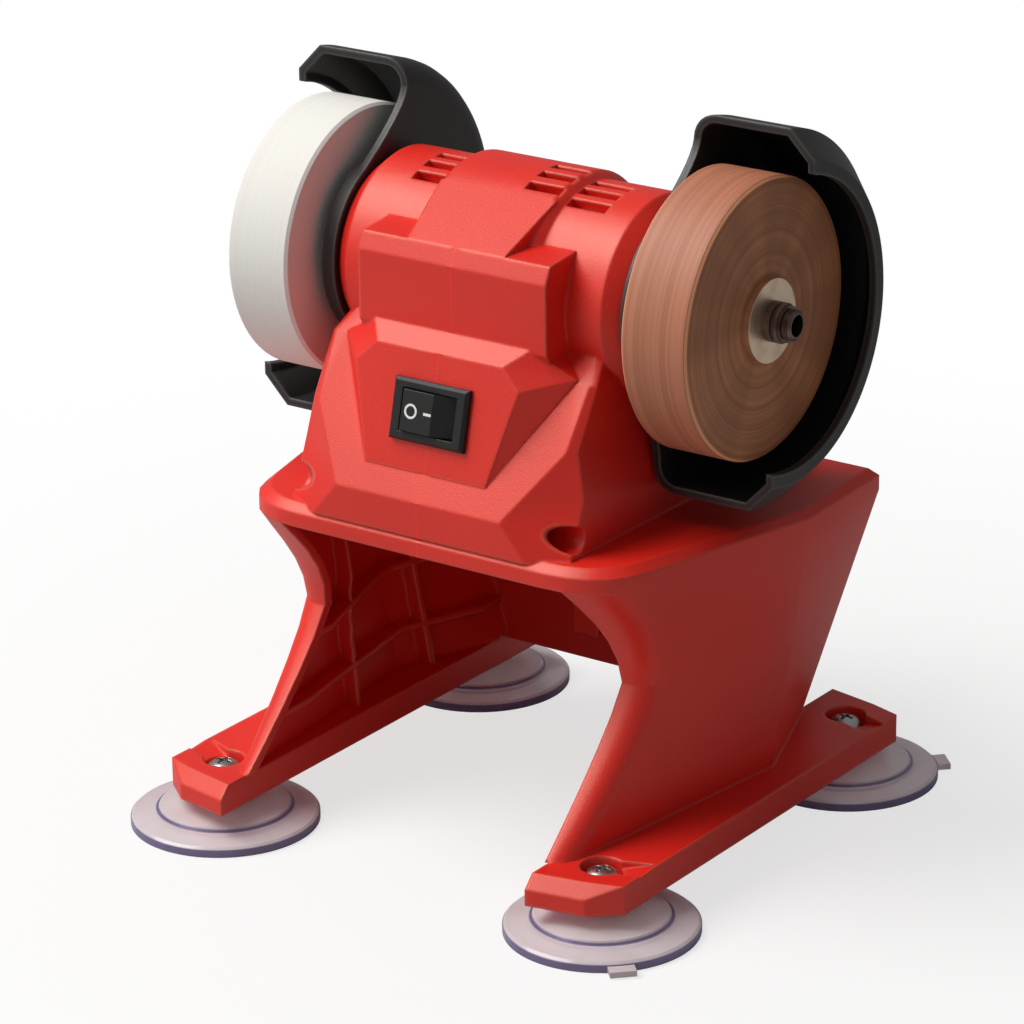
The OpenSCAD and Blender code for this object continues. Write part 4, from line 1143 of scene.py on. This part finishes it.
@dataclass
class Battery:
    """The slide-on pack, its dock and its latch."""

    crisp: float = 30.0
    grip_count: int = 7
    grip_step: float = 5.0 * MM
    grip_low: float = 70.0 * MM
    grip_side: float = 36.0 * MM
    grip_y: float = 69.4 * MM
    grip_size: Point = (0.8 * MM, 4.6 * MM, 1.4 * MM)
    grip_segments: int = 16
    grip_rings: int = 8
    grip_crisp: float = 35.0

    def build(self) -> None:
        """Dresses the pack and ribs its sides."""
        smooth_copy("battery_front_case", "battery_front_shell", PACK_BLACK, self.crisp)
        smooth_copy("battery_back_case", "battery_back_shell", PACK_RED, self.crisp)
        smooth_copy("battery_dock", "battery_dock_plate", BLACK, self.crisp)
        smooth_copy("battery_latch", "battery_latch_lever", BLACK, self.crisp)
        dress_nodes(battery_cells=CELL_WRAP, cell_straps=GROUND, dock_screws=ZINC, dock_terminals=CONTACT,
                    latch_pin=STEEL)
        self.rib_sides()

    def rib_sides(self) -> None:
        """Sets a row of finger ribs on both sides of the pack."""
        grower = Grower("pack_grip_ribs", Step=self.grip_step, Low=self.grip_low, Side=self.grip_side,
                        Back=self.grip_y)
        line = grower.add("GeometryNodeMeshLine", {
            "Count": self.grip_count,
            "Start Location": grower.vector(0.0, grower.size("Back"), grower.size("Low")),
            "Offset": grower.vector(0.0, 0.0, grower.size("Step"))}, mode="OFFSET").outputs[0]
        row = grower.repeat(line, grower.ball(self.grip_segments, self.grip_rings, self.grip_size))
        sides = [grower.move(row, grower.vector(grower.size("Side") * side.value, 0.0, 0.0)) for side in Side]
        piece = grower.grow(grower.join(*sides), "pack_grip_ribs", PACK_BLACK, self.grip_crisp)
        settle(piece, "battery", "black_plastic")


@dataclass
class Feet:
    """The suction cups, their screws and washers.

    The shares of a screw are shares of its head's radius or height, or of the width of its cross.
    """

    cup_crisp: float = 26.0
    washer_crisp: float = 30.0
    screw_crisp: float = 40.0
    span: Span = (125 * MM, 120 * MM)
    seat: float = 14.6 * MM
    head_radius: float = 5.0 * MM
    head_height: float = 3.0 * MM
    head_segments: int = 40
    head_rings: int = 24
    cross: float = 1.1 * MM
    cross_length: float = 4.2
    core_top: float = 1.3
    core_tip: float = 0.4
    core_lift: float = 0.35
    round_sides: int = 24
    shank_radius: float = 0.5
    shank_length: float = 3.0
    shank_drop: float = -1.6
    trim_side: float = 3.0
    trim_drop: float = -0.5

    def build(self) -> None:
        """Dresses the cups and turns the screws."""
        smooth_copy("suction_cups", "suction_feet", CUP_VINYL, self.cup_crisp)
        smooth_copy("foot_washers", "foot_screw_washers", STEEL, self.washer_crisp)
        self.turn_screws()

    def turn_screws(self) -> None:
        """Makes the four pan-head screws with crossed recesses."""
        grower = Grower("pan_head_screws", Radius=self.head_radius, Height=self.head_height, Seat=self.seat,
                        Cross=self.cross, Wide=self.span[0], Deep=self.span[1])
        radius, height, cross = grower.size("Radius"), grower.size("Height"), grower.size("Cross")
        dome = grower.ball(self.head_segments, self.head_rings, grower.vector(radius, radius, height))
        trim = grower.block(radius * self.trim_side, radius * self.trim_side, height)
        tools = [grower.lift(trim, height * self.trim_drop)]
        for turn in (0.0, math.pi / 2):
            arm = grower.block(cross * self.cross_length, cross, height)
            tools.append(grower.move(arm, grower.vector(0.0, 0.0, height), (0, 0, turn)))
        core = grower.add("GeometryNodeMeshCone", {
            "Vertices": self.round_sides, "Radius Top": cross * self.core_top,
            "Radius Bottom": cross * self.core_tip, "Depth": height})
        tools.append(grower.lift(core.outputs[0], height * self.core_lift))
        shank = grower.add("GeometryNodeMeshCylinder", {
            "Vertices": self.round_sides, "Radius": radius * self.shank_radius,
            "Depth": height * self.shank_length})
        screw = grower.join(grower.cut(dome, *tools), grower.lift(shank.outputs[0], height * self.shank_drop))
        corners = grower.add("GeometryNodeMeshGrid", {
            "Size X": grower.size("Wide"), "Size Y": grower.size("Deep"), "Vertices X": 2, "Vertices Y": 2})
        screws = grower.repeat(grower.lift(corners.outputs[0], grower.size("Seat")), screw)
        piece = grower.grow(screws, "foot_screw_heads", ZINC, self.screw_crisp)
        settle(piece, "base", "screw_steel", "foot_screws")


@dataclass(frozen=True)
class Lamp:
    """A round soft lamp."""

    name: str
    place: Point
    size: float
    power: float
    colour: tuple[float, float, float]

    def hang(self, aim: Point) -> None:
        """Hangs the lamp in the scene.

        Args:
            aim: Point that it shines at.
        """
        lamp = bpy.data.lights.new(self.name, "AREA")
        lamp.shape, lamp.size, lamp.energy, lamp.color = "DISK", self.size, self.power, self.colour
        turned = (Vector(self.place) - Vector(aim)).to_track_quat("Z", "Y").to_matrix().to_4x4()
        new_object(self.name, lamp).matrix_world = Matrix.Translation(self.place) @ turned


@dataclass
class Studio:
    """Camera, lights and floor."""

    lens: float = 165.2
    sensor: float = 36.0
    clip: Span = (0.05, 30.0)
    camera_place: Point = (0.68812, -0.97046, 0.53201)
    camera_ahead: Point = (-0.54524, 0.76059, -0.35245)
    camera_across: Point = (0.81536, 0.57882, -0.01227)
    lamp_aim: Point = (0.0, 0.0, 0.1)
    lamps: tuple[Lamp, ...] = (
        Lamp("top", (-0.75, -0.5, 1.35), 1.2, 24.0, (1.0, 0.985, 0.96)),
        Lamp("front", (-0.9, -1.4, 0.8), 0.9, 3.2, (1.0, 0.98, 0.95)))
    glossy_share: float = 0.12
    world_low: float = 0.2
    world_gain: float = 0.8
    floor_radius: float = 4.0
    floor_sides: int = 96
    floor_drop: float = 0.1 * MM
    floor_grey: float = 0.5
    floor_gain: float = 0.4
    floor_near: float = 0.7
    floor_far: float = 0.3
    floor_fade: Span = (0.1, 0.42)

    def build(self) -> None:
        """Sets up the camera, the light and the floor."""
        self.aim_camera()
        for lamp in self.lamps:
            lamp.hang(self.lamp_aim)
        self.light_world()
        self.lay_floor()

    def aim_camera(self) -> None:
        """Puts the camera where the photograph was taken."""
        data = bpy.data.cameras.new("photo_camera")
        data.lens, data.sensor_width, data.sensor_fit = self.lens, self.sensor, "HORIZONTAL"
        data.clip_start, data.clip_end = self.clip
        ahead = Vector(self.camera_ahead).normalized()
        across = Vector(self.camera_across).normalized()
        up = across.cross(ahead).normalized()
        turned = Matrix((across, up, -ahead)).transposed().to_4x4()
        camera = new_object("photo_camera", data)
        camera.matrix_world = Matrix.Translation(self.camera_place) @ turned
        bpy.context.scene.camera = camera

    def seen_white(self, graph: Graph) -> Term:
        """Tells the rays that show the background from those that light the grinder.

        Args:
            graph: Node tree that asks.

        Returns:
            1 for camera and transmission rays, a small share for glossy rays and 0 for the rest.
        """
        rays = graph.add("ShaderNodeLightPath").outputs
        seen = graph.term(rays["Is Camera Ray"]) + graph.term(rays["Is Glossy Ray"]) * self.glossy_share
        seen = seen + graph.term(rays["Is Transmission Ray"])
        return seen.smooth(0.0, 1.0)

    def light_world(self) -> None:
        """Sets the surroundings, white where they are seen."""
        world = bpy.data.worlds.new("studio")
        bpy.context.scene.world = world
        world.use_nodes = True
        graph = Graph(world.node_tree)
        strength = self.seen_white(graph) * self.world_gain + self.world_low
        back = graph.add("ShaderNodeBackground", {"Color": WHITE, "Strength": strength})
        graph.end("ShaderNodeOutputWorld", back.outputs[0])

    def lay_floor(self) -> None:
        """Lays a pale floor that keeps the shadow and turns white further out."""
        material = bpy.data.materials.new("pale_floor")
        material.use_nodes = True
        graph = Graph(material.node_tree)
        place = graph.add("ShaderNodeTexCoord").outputs["Object"]
        away = graph.add("ShaderNodeVectorMath", {0: place}, operation="LENGTH").outputs["Value"]
        far = graph.term(away).smooth(*self.floor_fade)
        seen = self.seen_white(graph)
        plain = graph.add("ShaderNodeBsdfDiffuse", {"Color": self.floor_grey + self.floor_gain * seen})
        white = graph.add("ShaderNodeEmission", {"Color": WHITE, "Strength": 1.0})
        share = seen * (self.floor_near + self.floor_far * far)
        both = graph.add("ShaderNodeMixShader", {0: share, 1: plain.outputs[0], 2: white.outputs[0]})
        graph.end("ShaderNodeOutputMaterial", both.outputs[0])
        shape = bmesh.new()
        bmesh.ops.create_circle(shape, cap_ends=True, segments=self.floor_sides, radius=self.floor_radius)
        bmesh.ops.translate(shape, vec=(0, 0, -self.floor_drop), verts=shape.verts)
        floor = new_object("studio_floor", close_mesh(shape, "studio_floor", material))


def main() -> None:
    """Builds the studio and the sub-assemblies in order."""
    logging.basicConfig(level=logging.INFO, format="%(name)s: %(message)s")
    bpy.context.scene.view_settings.view_transform = "Standard"
    for assembly in (Studio(), Housing(), Guards(), Rotor(), Motor(), Switch(), Battery(), Feet()):
        LOG.info("building %s", type(assembly).__name__)
        assembly.build()


if __name__ == "__main__":
    main()
